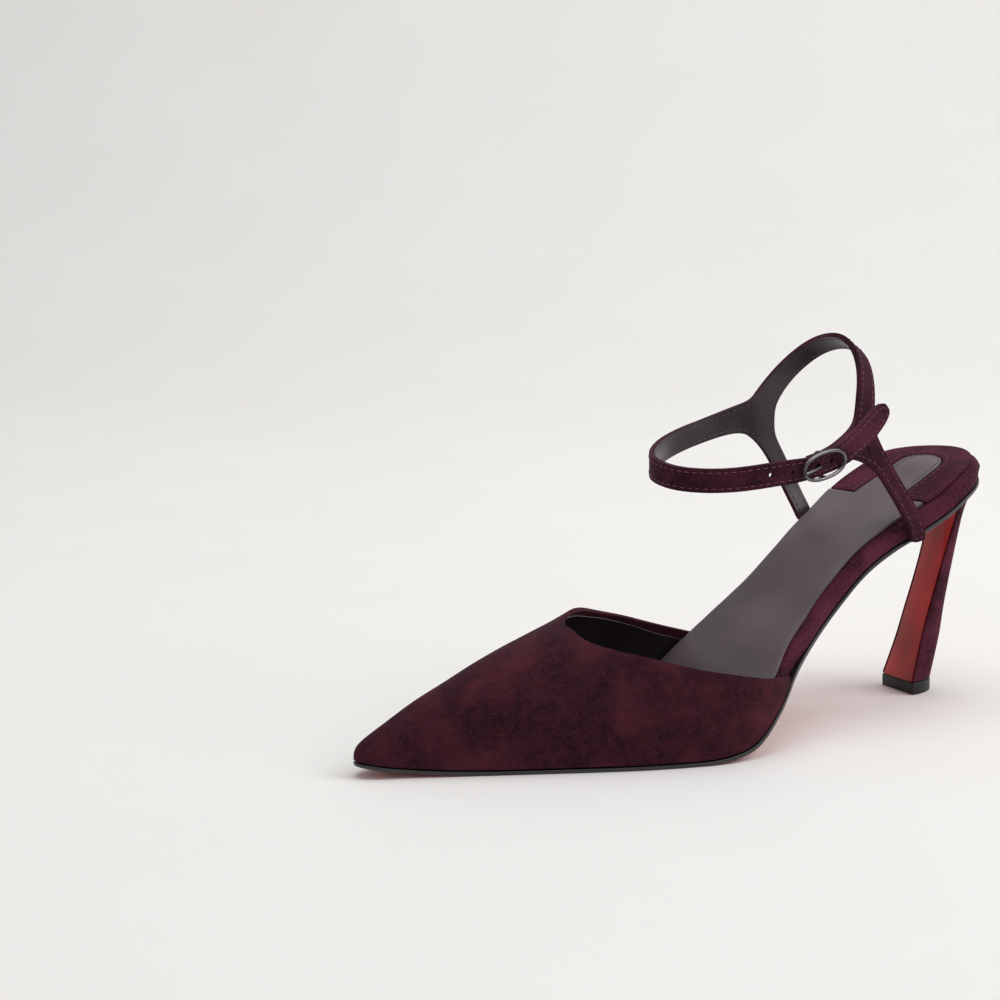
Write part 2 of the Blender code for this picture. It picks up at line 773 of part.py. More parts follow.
def make_ankle_strap():
    """One cut band: two legs, the loop behind the ankle, the buckle tab and the front strap."""
    bm = bmesh.new()
    outer = junction(bm, OUTER_JUNCTION)
    inner = junction(bm, INNER_JUNCTION)
    band(bm, outer["leg"], OUTER_LEG_ROWS)
    band(bm, inner["leg"], INNER_LEG_ROWS)
    collar_end = band(bm, outer["collar"], COLLAR_ROWS)
    upper, rear, back = inner["collar"]
    bm.faces.new((collar_end[0], upper, rear, collar_end[1]))
    bm.faces.new((collar_end[1], rear, back, collar_end[2]))
    band(bm, inner["front"], FRONT_STRAP_ROWS)
    band(bm, outer["front"], TAB_ROWS)
    thing = new_object("ankle_strap", bm, suede)
    smooth = thing.modifiers.new("smooth", "SUBSURF")
    smooth.levels = 1
    smooth.render_levels = 1
    add_solidify(thing, STRAP_THICK, 0)
    cuts = [make_prong_slot(), make_hole("prong_hole", PRONG_HOLE, BUCKLE_PLACE, prong_root() + GAP)]
    cuts += [make_hole(f"punch_hole_{i}", PUNCH_HOLE, at) for i, at in enumerate(PUNCH_PLACES)]
    for cut in cuts:
        modifier = thing.modifiers.new(cut.name, "BOOLEAN")
        modifier.operation = "DIFFERENCE"
        modifier.object = cut
    return thing


def strap_place_at(share):
    """Middle of the front strap's outer run, with the directions along, across and off it."""
    run = FRONT_STRAP_ROWS[OUTER_RUN:]

    def point(at):
        return strap_place((at, track(run, 1, at), track(run, 2, at)))

    step = 0.004
    ahead = (point(share - step) - point(share + step)).normalized()
    lean = math.radians(track(run, 4, share))
    across = Vector((-math.sin(lean), 0.0, math.cos(lean)))
    across = (across - ahead * across.dot(ahead)).normalized()
    return point(share), ahead, across, across.cross(ahead)


def buckle_place(forward, up, out):
    """Point given from the middle of the strap under the buckle: along it, across it, off it."""
    place, ahead, across, off = strap_place_at(BUCKLE_PLACE)
    return place + ahead * forward + across * up + off * out


def bar_depth():
    """How far the buckle's bar lies inside the strap's middle surface."""
    return STRAP_THICK / 2 + GAP + BUCKLE_WIRE / 2


def prong_root():
    """Distance from the bar's axis to the prong bent round it."""
    return BUCKLE_WIRE / 2 + GAP + PRONG_WIRE / 2


def turned(place, ahead, across, off):
    """Placement matrix with its X forward along the strap, Y across it and Z off it."""
    turn = Matrix((ahead, across, off)).transposed().to_4x4()
    return Matrix.Translation(place) @ turn


def make_hole(name, radius, share, forward=0.0):
    """Round cutter through the strap at a place along it."""
    place, ahead, across, off = strap_place_at(share)
    bm = bmesh.new()
    depth = STRAP_THICK + 4 * GAP
    bmesh.ops.create_cone(bm, cap_ends=True, segments=12, radius1=radius, radius2=radius, depth=depth)
    thing = new_object(name, bm, steel)
    thing.matrix_world = turned(place + ahead * forward, ahead, across, off)
    return as_cutter(thing)


def make_prong_slot():
    """Slot in the fold of the tab, in which the prong swings."""
    reach = prong_root() + PRONG_WIRE / 2 + GAP
    low, high = -bar_depth() - SLOT_DEPTH, -STRAP_THICK / 2 - GAP / 3
    back, front = -reach, reach + SLOT_DEPTH
    bm = bmesh.new()
    bmesh.ops.create_cube(bm, size=1.0)
    thing = new_object("prong_slot", bm, steel)
    _, ahead, across, off = strap_place_at(BUCKLE_PLACE)
    middle = buckle_place((back + front) / 2, 0.0, (low + high) / 2)
    size = Matrix.Diagonal((front - back, PRONG_WIRE + 4 * GAP, high - low, 1.0))
    thing.matrix_world = turned(middle, ahead, across, off) @ size
    return as_cutter(thing)


def wire(name, places, radius, closed, material):
    """Round wire along a chain of points."""
    curve = bpy.data.curves.new(name, "CURVE")
    curve.dimensions = "3D"
    curve.bevel_depth = radius
    curve.bevel_resolution = 2
    curve.use_fill_caps = not closed
    spline = curve.splines.new("POLY")
    spline.points.add(len(places) - 1)
    for point, place in zip(spline.points, places):
        point.co = (*place, 1.0)
    spline.use_cyclic_u = closed
    thing = bpy.data.objects.new(name, curve)
    curve.materials.append(material)
    pump.objects.link(thing)
    return thing


def as_mesh(thing):
    """Mesh object made from a wire, with its end caps welded."""
    name, material = thing.name, thing.data.materials[0]
    bpy.context.view_layer.update()
    shape = thing.evaluated_get(bpy.context.evaluated_depsgraph_get())
    mesh = bpy.data.meshes.new_from_object(shape)
    matrix = thing.matrix_world.copy()
    bpy.data.objects.remove(thing, do_unlink=True)
    bm = bmesh.new()
    bm.from_mesh(mesh)
    bmesh.ops.remove_doubles(bm, verts=bm.verts, dist=0.000001)
    bpy.data.meshes.remove(mesh)
    solid = new_object(name, bm, material, 60)
    solid.matrix_world = matrix
    return solid


def make_buckle_frame():
    """Oval ring over the strap, with a bar that dips under it."""
    length = (BUCKLE_LENGTH - BUCKLE_WIRE) / 2
    height = (BUCKLE_HEIGHT - BUCKLE_WIRE) / 2
    out = bar_depth() + GAP / 2
    ring = []
    for i in range(36):
        angle = 2 * math.pi * i / 36
        along = math.copysign(abs(math.cos(angle)) ** 0.88, math.cos(angle)) * length
        up = math.copysign(abs(math.sin(angle)) ** 0.88, math.sin(angle)) * height
        ring.append(buckle_place(along, up, out))
    frame = as_mesh(wire("buckle_frame", ring, BUCKLE_WIRE / 2, True, steel))
    inner = -bar_depth()
    bend = BUCKLE_WIRE
    side = ((height, out), (height, inner + bend))
    side += tuple(
        (height - bend * (1 - math.cos(a)), inner + bend * (1 - math.sin(a)))
        for a in spread(0.5, math.pi / 2, 3)
    )
    turns = side + tuple((-up, depth) for up, depth in reversed(side))
    bar_route = [buckle_place(0.0, up, depth) for up, depth in turns]
    bar = as_cutter(as_mesh(wire("buckle_bar", bar_route, BUCKLE_WIRE / 2, False, steel)))
    join = frame.modifiers.new("bar", "BOOLEAN")
    join.operation = "UNION"
    join.object = bar
    return frame


def make_buckle_prong():
    """Pin bent under the bar, up through the strap and forward over the ring."""
    bend = prong_root()
    bar = -bar_depth()
    over_strap = STRAP_THICK / 2 + GAP + PRONG_WIRE / 2
    end = (BUCKLE_LENGTH - BUCKLE_WIRE) / 2
    over_ring = bar_depth() + GAP / 2 + BUCKLE_WIRE / 2 + GAP + PRONG_WIRE / 2
    route = [(-bend * math.cos(a), bar - bend * math.sin(a)) for a in spread(0, math.pi, 6)]
    route += [(bend + GAP, 0.0), (bend + GAP, over_strap - GAP), (bend + 4 * GAP, over_strap + GAP)]
    route += [(end * 0.62, (over_strap + over_ring) / 2 + GAP), (end, over_ring), (end + PRONG_WIRE, over_ring)]
    places = [buckle_place(along, 0.0, out) for along, out in route]
    return wire("buckle_prong", places, PRONG_WIRE / 2, False, steel)


for old in list(bpy.data.objects):
    bpy.data.objects.remove(old, do_unlink=True)

pump = bpy.data.collections.new("ankle_strap_pump")
cutters = bpy.data.collections.new("cutters")
for group in (pump, cutters):
    bpy.context.scene.collection.children.link(group)

suede = new_material("suede", (0.042, 0.010, 0.020), 0.95)
grey_leather = new_material("grey_leather", (0.11, 0.09, 0.09), 0.55)
black_edge = new_material("black_edge", (0.012, 0.011, 0.012), 0.35)
red_lacquer = new_material("red_lacquer", (0.30, 0.012, 0.008), 0.15)
hard_rubber = new_material("hard_rubber", (0.020, 0.022, 0.021), 0.5)
steel = new_material("steel", (0.62, 0.62, 0.63), 0.2, 1.0)

pieces = [
    make_outsole(),
    make_footbed(),
    make_sock(),
    make_heel_pad(),
    make_vamp(),
    make_heel(),
    make_heel_breast(),
    make_toplift(),
    make_ankle_strap(),
    make_buckle_frame(),
    make_buckle_prong(),
]

# The empty that brings the bottom centre of the shoe to the origin
bpy.context.view_layer.update()
graph = bpy.context.evaluated_depsgraph_get()
corners = []
for piece in pieces:
    shape = piece.evaluated_get(graph)
    corners += [piece.matrix_world @ v.co for v in shape.to_mesh().vertices]
    shape.to_mesh_clear()
low = [min(c[i] for c in corners) for i in range(3)]
high = [max(c[i] for c in corners) for i in range(3)]
assembly = bpy.data.objects.new("assembly", None)
pump.objects.link(assembly)
assembly.location = (-(low[0] + high[0]) / 2, -(low[1] + high[1]) / 2, -low[2])
for piece in pieces + list(cutters.objects):
    piece.parent = assembly
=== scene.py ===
"""Ankle strap pump for the left foot, in dark burgundy suede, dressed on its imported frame.

The pieces are made in the shoe's own metres, with X from the toe tip and Z from the floor.
They are then carried to the frame, where the toe points to -X and the buckle side to -Y.
"""

import math

import bmesh
import bpy
from mathutils import Matrix, Vector
from mathutils.bvhtree import BVHTree


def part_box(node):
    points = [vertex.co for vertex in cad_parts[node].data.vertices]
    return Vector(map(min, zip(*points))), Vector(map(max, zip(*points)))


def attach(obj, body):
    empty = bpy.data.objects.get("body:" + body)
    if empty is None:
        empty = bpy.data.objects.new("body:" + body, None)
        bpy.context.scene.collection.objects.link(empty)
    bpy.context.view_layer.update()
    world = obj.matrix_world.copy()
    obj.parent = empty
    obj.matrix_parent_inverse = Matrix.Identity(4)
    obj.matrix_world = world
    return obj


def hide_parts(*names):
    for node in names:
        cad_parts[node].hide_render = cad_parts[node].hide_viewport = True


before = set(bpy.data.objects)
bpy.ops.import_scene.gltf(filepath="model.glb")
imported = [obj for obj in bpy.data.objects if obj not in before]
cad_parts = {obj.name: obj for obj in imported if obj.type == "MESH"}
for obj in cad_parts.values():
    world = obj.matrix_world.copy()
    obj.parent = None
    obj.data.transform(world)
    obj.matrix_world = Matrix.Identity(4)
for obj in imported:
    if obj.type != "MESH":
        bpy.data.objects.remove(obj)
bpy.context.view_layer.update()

# Driving sizes of the last and sole
LENGTH = 0.2495
BALL_WIDTH = 0.0782
SEAT_RISE = 0.0744
INSTEP_RISE = 0.045
SEAT_END = 0.992
TOE_ROUND = 0.0075
SEAT_ROUND = 0.0225
SOLE_THICK = 0.0013
FOREPART_BOARD = 0.0027
WAIST_BOARD = 0.0057
SEAT_BOARD = 0.0067
WAIST_SHOULDER_WIDTH = 0.0030
WAIST_SHOULDER_DROP = 0.0013
SEAT_SHOULDER_WIDTH = 0.0018
SEAT_SHOULDER_DROP = 0.0008
BOARD_EDGE_INSET = 0.0004
BOARD_START = 0.003
SIDE_FADE = 0.012
SOCK_THICK = 0.0009
SOCK_MARGIN = 0.0034
SOCK_TUCK = 0.6
SOCK_START = 0.010
PAD_THICK = 0.0010
PAD_ARM_START = 0.207
PAD_SLANT = 0.20
SLANT_RUN = 0.018
TONGUE_HALF_WIDTH = 0.0095
TONGUE_SHARE = 0.7
TONGUE_END = 0.234

# Driving sizes of the vamp
VAMP_WALL = 0.0016
VAMP_INSET = 0.0005
VAMP_LIFT = 0.0005
VAMP_SQUARENESS = 2.3

# Driving sizes of the heel
TOPLIFT_THICK = 0.0045
HEEL_HALF = 0.0093
HEEL_SIDE = 0.0002
HEEL_DEPTH = 0.0128
HEEL_FRONT_X = 0.2163
BREAST_THICK = 0.0011
BREAST_MARGIN = 0.0008
LIP_HALF_WIDTH = 0.0095
LIP_DEPTH = 0.0110
LIP_LOW_THICK = 0.0010
LIP_HIGH_THICK = 0.0016
LIP_SIDE_SHARE = 0.45
LIP_BELOW_SEAT = 0.0024

# Driving sizes of the strap and buckle
STRAP_THICK = 0.0019
STRAP_WIDTH = 0.0080
OUTER_RUN = 9
ANKLE_WIDTH = 0.060
ANKLE_RISE = 0.100
BUCKLE_LENGTH = 0.0205
BUCKLE_HEIGHT = 0.0099
BUCKLE_WIRE = 0.0013
BUCKLE_PLACE = 0.640
PRONG_WIRE = 0.0011
PRONG_HOLE = 0.0011
SLOT_DEPTH = 0.0035
PUNCH_HOLE = 0.0008
PUNCH_PLACES = (0.557, 0.588, 0.657)

# Clearance between touching pieces, and between the sole and what lies on the footbed
GAP = 0.0003
BED_GAP = 0.0007

# Sole sections, front to back: place / LENGTH, centre / BALL_WIDTH, width / BALL_WIDTH,
# outer edge height / SEAT_RISE, inner edge height / SEAT_RISE
SOLE_ROWS = (
    (0.000, 0.024, 0.130, 0.050, 0.052),
    (0.048, 0.012, 0.218, 0.024, 0.036),
    (0.100, -0.004, 0.336, 0.008, 0.018),
    (0.160, -0.021, 0.478, 0.000, 0.000),
    (0.220, -0.037, 0.625, 0.000, 0.000),
    (0.280, -0.052, 0.772, 0.000, 0.000),
    (0.340, -0.070, 0.900, 0.000, 0.000),
    (0.400, -0.092, 0.980, 0.000, 0.000),
    (0.448, -0.117, 1.000, 0.010, 0.012),
    (0.496, -0.136, 0.955, 0.052, 0.076),
    (0.544, -0.135, 0.850, 0.176, 0.212),
    (0.592, -0.112, 0.700, 0.319, 0.352),
    (0.640, -0.092, 0.580, 0.432, 0.490),
    (0.688, -0.068, 0.540, 0.556, 0.628),
    (0.736, -0.040, 0.562, 0.684, 0.738),
    (0.784, -0.014, 0.608, 0.774, 0.820),
    (0.832, 0.010, 0.648, 0.837, 0.892),
    (0.880, 0.020, 0.655, 0.905, 0.957),
    (0.928, 0.020, 0.615, 0.985, 1.023),
    (1.000, 0.012, 0.540, 1.050, 1.066),
)

# Vamp ridge: place / LENGTH, height / INSTEP_RISE
RIDGE_ROWS = (
    (0.000, 0.180),
    (0.006, 0.226),
    (0.015, 0.262),
    (0.024, 0.290),
    (0.048, 0.365),
    (0.090, 0.495),
    (0.136, 0.612),
    (0.180, 0.722),
    (0.226, 0.820),
    (0.260, 0.882),
    (0.286, 0.930),
    (0.310, 0.975),
    (0.360, 1.090),
    (0.416, 1.220),
    (0.472, 1.320),
    (0.528, 1.380),
    (0.600, 1.400),
)

# Topline from the outer end (-1) round the throat (0) to the inner end (1):
# turn, place / LENGTH, height / INSTEP_RISE
TOPLINE_ROWS = (
    (-1.00, 0.569, 0.524),
    (-0.80, 0.520, 0.572),
    (-0.65, 0.466, 0.640),
    (-0.50, 0.414, 0.706),
    (-0.35, 0.362, 0.790),
    (-0.22, 0.328, 0.839),
    (-0.12, 0.307, 0.878),
    (-0.05, 0.2985, 0.912),
    (0.00, 0.300, 0.955),
    (0.10, 0.311, 0.968),
    (0.22, 0.334, 0.978),
    (0.35, 0.368, 0.955),
    (0.50, 0.412, 0.878),
    (0.65, 0.460, 0.796),
    (0.80, 0.516, 0.690),
    (1.00, 0.572, 0.596),
)

# Heel sections from the toplift up: share of the rise, shift of the front edge / HEEL_DEPTH,
# depth / HEEL_DEPTH, half width of the front / HEEL_HALF
HEEL_ROWS = (
    (0.00, 0.04, 1.02, 0.99),
    (0.21, 0.41, 0.99, 0.84),
    (0.36, 0.67, 0.88, 0.79),
    (0.50, 0.95, 0.76, 0.77),
    (0.65, 1.24, 0.65, 0.78),
    (0.76, 1.43, 0.57, 0.85),
    (0.85, 1.54, 0.55, 0.97),
    (0.93, 1.55, 0.70, 1.20),
    (1.00, 1.25, 1.29, 1.60),
)


# Sizes that only the dressed shoe has
LINING_THICK = 0.0005
LINING_START = 0.012
TURNED_EDGE = 0.0032
COLUMN_TURN = 0.006
STITCH_PITCH = 0.0026
STITCH_LENGTH = 0.0019
STITCH_RADIUS = 0.00017
STITCH_INSET = 0.0013
SEAM_PITCH = 0.0022
SEAM_INSET = 0.0015
STITCH_SUNK = 0.5
RIM_BEVEL = 0.0005
STRAP_BEVEL = 0.0004
SOCK_BEVEL = 0.00035
PAD_BEVEL = 0.0005
HEEL_BEVEL = 0.0003
LIFT_BEVEL = 0.00035
SOLE_EDGE_ROUND = 0.0004
UNDERSIDE_DEPTH = 0.00012
BREAST_CROWN = 0.0004
LIP_TOP_ROUND = 0.0004
MERGE_REACH = 0.00002

# Bearing of the photo's camera from the buckle side, in radians
CAMERA_TURN = 0.560258

sole_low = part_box("outsole")[0]
lift_low, lift_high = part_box("toplift")
PLACE = Matrix.Translation((sole_low.x, (lift_low.y + lift_high.y) / 2 - HEEL_SIDE, 0.0))


# Forms of the shoe, as the solids have them

def track(rows, column, share):
    """Smooth value of one column of a table at a share of its first column."""
    last = len(rows) - 1
    if share <= rows[0][0]:
        return rows[0][column]
    if share >= rows[last][0]:
        return rows[last][column]
    low = max(i for i in range(last) if rows[i][0] <= share)
    high = low + 1

    def slope(i):
        before, after = max(i - 1, 0), min(i + 1, last)
        return (rows[after][column] - rows[before][column]) / (rows[after][0] - rows[before][0])

    span = rows[high][0] - rows[low][0]
    t = (share - rows[low][0]) / span
    rise = rows[high][column] - rows[low][column]
    a = slope(low) * span - rise
    b = -slope(high) * span + rise
    return rows[low][column] + rise * t + t * (1 - t) * (a * (1 - t) + b * t)


def centre(x):
    """Middle of the sole across, at a place along it."""
    return track(SOLE_ROWS, 1, x / LENGTH) * BALL_WIDTH


def full_half_width(x):
    """Half width of the sole before its ends are rounded."""
    return track(SOLE_ROWS, 2, x / LENGTH) * BALL_WIDTH / 2


def end_round(distance, reach):
    """1 away from an end, falling on a quarter ellipse to 0 at the end itself."""
    if distance >= reach:
        return 1.0
    near = max(distance, 0.0) / reach
    return math.sqrt(max(0.0, 1 - (1 - near) ** 2))


def half_width(x, inset=0.0, start=0.0, end=LENGTH):
    """Half width of the outline drawn in by inset, between a rounded start and end."""
    ends = end_round(x - start, TOE_ROUND) * end_round(end - x, SEAT_ROUND)
    return max(full_half_width(x) - inset, 0.0) * ends


def sole_bottom(x, y):
    """Height of the underside of the sole."""
    half = full_half_width(x)
    across = min(max((y - centre(x) + half) / (2 * half), 0.0), 1.0)
    outer = track(SOLE_ROWS, 3, x / LENGTH)
    inner = track(SOLE_ROWS, 4, x / LENGTH)
    return max(outer + (inner - outer) * across, 0.0) * SEAT_RISE


def steepness(x):
    """Length of sole per length of floor, so that a thickness holds on the slope."""
    step = 0.002
    rise = sole_bottom(x + step, centre(x)) - sole_bottom(x - step, centre(x))
    return math.hypot(1.0, rise / (2 * step))


def above_sole(x, y, lift):
    """Height of a point that lies lift off the sole's underside."""
    return sole_bottom(x, y) + lift * steepness(x)


def board_thick(x):
    """Thickness of the footbed: thin inside the vamp, full from the waist back."""
    share = x / LENGTH
    rows = (
        (0.00, FOREPART_BOARD),
        (0.40, FOREPART_BOARD),
        (0.56, WAIST_BOARD),
        (0.74, WAIST_BOARD),
        (0.90, SEAT_BOARD),
        (1.00, SEAT_BOARD),
    )
    return track(rows, 1, share)


def spread(start, end, count):
    """Evenly spaced values with both ends."""
    return [start + (end - start) * i / (count - 1) for i in range(count)]


def stations(toe_rows, middle_rows, seat_rows):
    """Places along the shoe as shares, crowded where the outline rounds off."""
    toe_share = TOE_ROUND / LENGTH
    seat_share = 1 - SEAT_ROUND / LENGTH
    toe = [toe_share * (1 - math.cos(a)) for a in spread(0, math.pi / 2, toe_rows)]
    middle = spread(toe_share, seat_share, middle_rows)[1:-1]
    seat = [seat_share + (1 - seat_share) * math.sin(a) for a in spread(0, math.pi / 2, seat_rows)]
    return toe + middle + seat


def ring_points(shares, start, end, inset, lift):
    """One closed ring of a plate: outer side from toe to seat, then the inner side back.

    inset(x) draws the ring in from the sole's edge and lift(x) raises it off the sole.
    """
    outer, inner = [], []
    for share in shares:
        x = start + (end - start) * share
        pulled = inset(x)
        reach = 0.16 * (end - start)
        x += pulled * max(0.0, 1 - (x - start) / reach)
        x -= pulled * max(0.0, 1 - (end - x) / reach)
        side = half_width(x, pulled, start + pulled, end - pulled)
        y = centre(x)
        outer.append(Vector((x, y - side, above_sole(x, y - side, lift(x)))))
        inner.append(Vector((x, y + side, above_sole(x, y + side, lift(x)))))
    return outer, inner


def vamp_end():
    """Where the footbed starts to widen behind the vamp, and where it has its full width."""
    back = TOPLINE_ROWS[-1][1] * LENGTH
    return back + GAP, back + GAP + SIDE_FADE


def board_side(x):
    """Extra inset of the footbed inside the vamp, which fades out behind it."""
    inside = VAMP_INSET + VAMP_WALL + 2 * GAP
    start, end = vamp_end()
    return inside * min(1.0, max(0.0, (end - x) / (end - start)))


def shoulder(x):
    """Width and drop of the slope round the footbed's top, which is narrower at the seat."""
    seat = track(((0.76, 0.0), (0.86, 1.0)), 1, x / LENGTH)
    width = WAIST_SHOULDER_WIDTH + (SEAT_SHOULDER_WIDTH - WAIST_SHOULDER_WIDTH) * seat
    drop = WAIST_SHOULDER_DROP + (SEAT_SHOULDER_DROP - WAIST_SHOULDER_DROP) * seat
    return width, drop * board_thick(x) / SEAT_BOARD


def join_rows(bm, rows):
    """Fills an open sheet between neighbouring rows of corners."""
    for a, b in zip(rows, rows[1:]):
        for i in range(len(a) - 1):
            bm.faces.new((a[i], b[i], b[i + 1], a[i + 1]))


def on_footbed(x, y):
    """Point just clear of the footbed's top."""
    return Vector((x, y, above_sole(x, y, SOLE_THICK + BED_GAP + board_thick(x))))


def sock_front():
    """Where the sock's full width ends, just before the pad's arms."""
    return PAD_ARM_START - 2 * GAP


def slanted_row(x, across):
    """Points across the sock, which slant like the pad's front line when they are near it."""
    lean = max(0.0, 1 - abs(x - sock_front()) / SLANT_RUN)
    return [on_footbed(x - PAD_SLANT * y * lean, centre(x) + y) for y in across]


def sock_row(x, strip, middle):
    """Full row of the sock: strip spans to its edge on each side of the middle spans."""
    side = half_width(x, SOCK_MARGIN + board_side(x) * SOCK_TUCK, SOCK_START, LENGTH)
    tongue = min(TONGUE_HALF_WIDTH, side * TONGUE_SHARE)
    edge = spread(tongue, side, strip + 1)[1:]
    return slanted_row(x, [-y for y in reversed(edge)] + spread(-tongue, tongue, middle + 1) + edge)


def tongue_row(x, middle):
    """Row of the sock's tongue between the pad's arms."""
    side = TONGUE_HALF_WIDTH * end_round(TONGUE_END - x, TONGUE_HALF_WIDTH)
    return slanted_row(x, spread(-side, side, middle + 1))


def tongue_places(straight, turned):
    """Places along the tongue, crowded round its end."""
    root = TONGUE_END - TONGUE_HALF_WIDTH
    places = spread(sock_front(), root, straight + 1)[1:]
    return places + [root + TONGUE_HALF_WIDTH * math.sin(a) for a in spread(0, 1.5, turned + 1)[1:]]


def pad_edges(turn):
    """Inner and outer place of the pad, from the outer arm's end (-1) to the inner arm's (1)."""
    margin = BOARD_EDGE_INSET + SEAT_SHOULDER_WIDTH + GAP
    hole = TONGUE_HALF_WIDTH + 2 * GAP
    end = LENGTH * SEAT_END - margin
    round_start = TONGUE_END - TONGUE_HALF_WIDTH

    def outer_side(x):
        return math.copysign(half_width(x, margin, 0.0, end), turn)

    def arm_place(y):
        reach = round_start - PAD_ARM_START + PAD_SLANT * y
        return round_start - (abs(turn) - 0.5) * 2 * reach

    if abs(turn) > 0.5:
        y_in = math.copysign(hole, turn)
        x_in = arm_place(y_in)
        x_out = arm_place(outer_side(x_in))
    else:
        x_in = round_start + hole * math.cos(turn * math.pi)
        y_in = hole * math.sin(turn * math.pi)
        x_out = round_start + (end - round_start) * math.cos(turn * math.pi)
    return Vector((x_in, centre(x_in) + y_in)), Vector((x_out, centre(x_out) + outer_side(x_out)))


def arch_point(x, angle):
    """Point of the vamp's outer face on the arch over the foot at one place."""
    power = 2 / VAMP_SQUARENESS
    side = half_width(x, VAMP_INSET)
    y = centre(x) - math.copysign(abs(math.cos(angle)) ** power, math.cos(angle)) * side
    floor = SOLE_THICK + VAMP_LIFT
    base = above_sole(x, y, floor)
    rise = track(RIDGE_ROWS, 1, x / LENGTH) * INSTEP_RISE - above_sole(x, centre(x), floor)
    return Vector((x, y, base + max(rise, 0.0) * abs(math.sin(angle)) ** power))


def topline_angle(x, height, outer_side):
    """Angle on the arch at which the vamp reaches a height."""
    low, high = (0.0, math.pi / 2) if outer_side else (math.pi, math.pi / 2)
    for _ in range(40):
        middle = (low + high) / 2
        if arch_point(x, middle).z < height:
            low = middle
        else:
            high = middle
    return (low + high) / 2


def heel_section(share):
    """Place of the front edge, depth and half width of the heel at a share of its rise."""
    front_x = HEEL_FRONT_X + track(HEEL_ROWS, 1, share) * HEEL_DEPTH
    return front_x, track(HEEL_ROWS, 2, share) * HEEL_DEPTH, track(HEEL_ROWS, 3, share) * HEEL_HALF


def strip_faces(bm, near, far):
    """Fills between two equally long rows of corners whose ends may be shared."""
    for i in range(len(near) - 1):
        corners = [near[i], near[i + 1], far[i + 1], far[i]]
        unique = [v for k, v in enumerate(corners) if v not in corners[:k]]
        bm.faces.new(unique)


# Strap rows: place / LENGTH, side / ANKLE_WIDTH, height / ANKLE_RISE, width / STRAP_WIDTH,
# lean in degrees.
# The lean turns the width direction from upright (0) to level, front edge first (90).
OUTER_JUNCTION = (
    (0.745, -0.317, 0.980),
    (0.765, -0.303, 1.005),
    (0.726, -0.337, 1.028),
    (0.717, -0.367, 0.923),
)
INNER_JUNCTION = (
    (0.709, 0.522, 1.004),
    (0.733, 0.520, 0.996),
    (0.697, 0.537, 1.070),
    (0.692, 0.523, 0.944),
)
OUTER_LEG_ROWS = (
    (0.763, -0.347, 0.915, 0.90, 80),
    (0.776, -0.373, 0.860, 0.80, 76),
    (0.788, -0.393, 0.805, 0.78, 76),
    (0.799, -0.413, 0.755, 0.78, 76),
    (0.808, -0.427, 0.710, 0.78, 76),
    (0.814, -0.436, 0.675, 0.78, 76),
    (0.817, -0.442, 0.645, 0.78, 76),
    (0.819, -0.447, 0.612, 0.74, 76),
)
INNER_LEG_ROWS = (
    (0.719, 0.510, 0.925, 0.90, 76),
    (0.730, 0.493, 0.875, 0.80, 76),
    (0.740, 0.477, 0.820, 0.78, 76),
    (0.749, 0.453, 0.765, 0.78, 76),
    (0.756, 0.425, 0.715, 0.78, 76),
    (0.763, 0.392, 0.665, 0.78, 76),
    (0.767, 0.376, 0.632, 0.78, 76),
)
COLLAR_ROWS = (
    (0.755, -0.282, 1.055, 1.10, 55),
    (0.763, -0.237, 1.095, 1.00, 55),
    (0.773, -0.188, 1.142, 0.95, 53),
    (0.782, -0.130, 1.186, 0.93, 51),
    (0.791, -0.050, 1.232, 0.93, 51),
    (0.797, 0.050, 1.270, 0.93, 51),
    (0.799, 0.167, 1.290, 0.93, 51),
    (0.792, 0.283, 1.284, 0.93, 51),
    (0.782, 0.390, 1.256, 0.93, 51),
    (0.768, 0.473, 1.210, 0.94, 51),
    (0.752, 0.520, 1.162, 0.96, 52),
    (0.734, 0.538, 1.108, 1.05, 53),
    (0.721, 0.537, 1.065, 1.20, 54),
)
FRONT_STRAP_ROWS = (
    (0.674, 0.553, 1.004, 1.20, 8),
    (0.648, 0.577, 0.988, 1.04, 8),
    (0.614, 0.563, 0.970, 1.00, 5),
    (0.580, 0.523, 0.957, 1.00, 4),
    (0.548, 0.467, 0.943, 1.00, 3),
    (0.517, 0.380, 0.930, 1.00, 2),
    (0.488, 0.250, 0.922, 1.00, 0),
    (0.464, 0.108, 0.918, 1.00, 0),
    (0.450, -0.017, 0.916, 1.00, 0),
    (0.446, -0.133, 0.910, 1.00, 0),
    (0.452, -0.242, 0.902, 1.00, 0),
    (0.470, -0.338, 0.898, 1.00, 0),
    (0.496, -0.427, 0.898, 1.00, 0),
    (0.526, -0.490, 0.904, 1.00, 2),
    (0.558, -0.527, 0.913, 1.00, 4),
    (0.590, -0.540, 0.918, 1.00, 6),
    (0.616, -0.533, 0.921, 0.91, 8),
    (0.640, -0.518, 0.928, 0.85, 12),
    (0.665, -0.497, 0.941, 0.91, 18),
    (0.690, -0.470, 0.961, 1.00, 26),
    (0.716, -0.440, 0.991, 1.00, 30),
    (0.742, -0.407, 1.030, 1.00, 34),
    (0.766, -0.377, 1.072, 0.86, 36),
    (0.775, -0.366, 1.090, 0.50, 36),
)
TAB_ROWS = (
    (0.697, -0.393, 0.959, 0.92, 24),
    (0.675, -0.423, 0.945, 0.80, 20),
    (0.655, -0.443, 0.936, 0.76, 16),
    (0.641, -0.455, 0.929, 0.76, 12),
    (0.630, -0.455, 0.925, 0.76, 12),
    (0.631, -0.486, 0.925, 0.76, 12),
)


def strap_place(row):
    """Point of a strap row."""
    return Vector((row[0] * LENGTH, row[1] * ANKLE_WIDTH, row[2] * ANKLE_RISE))


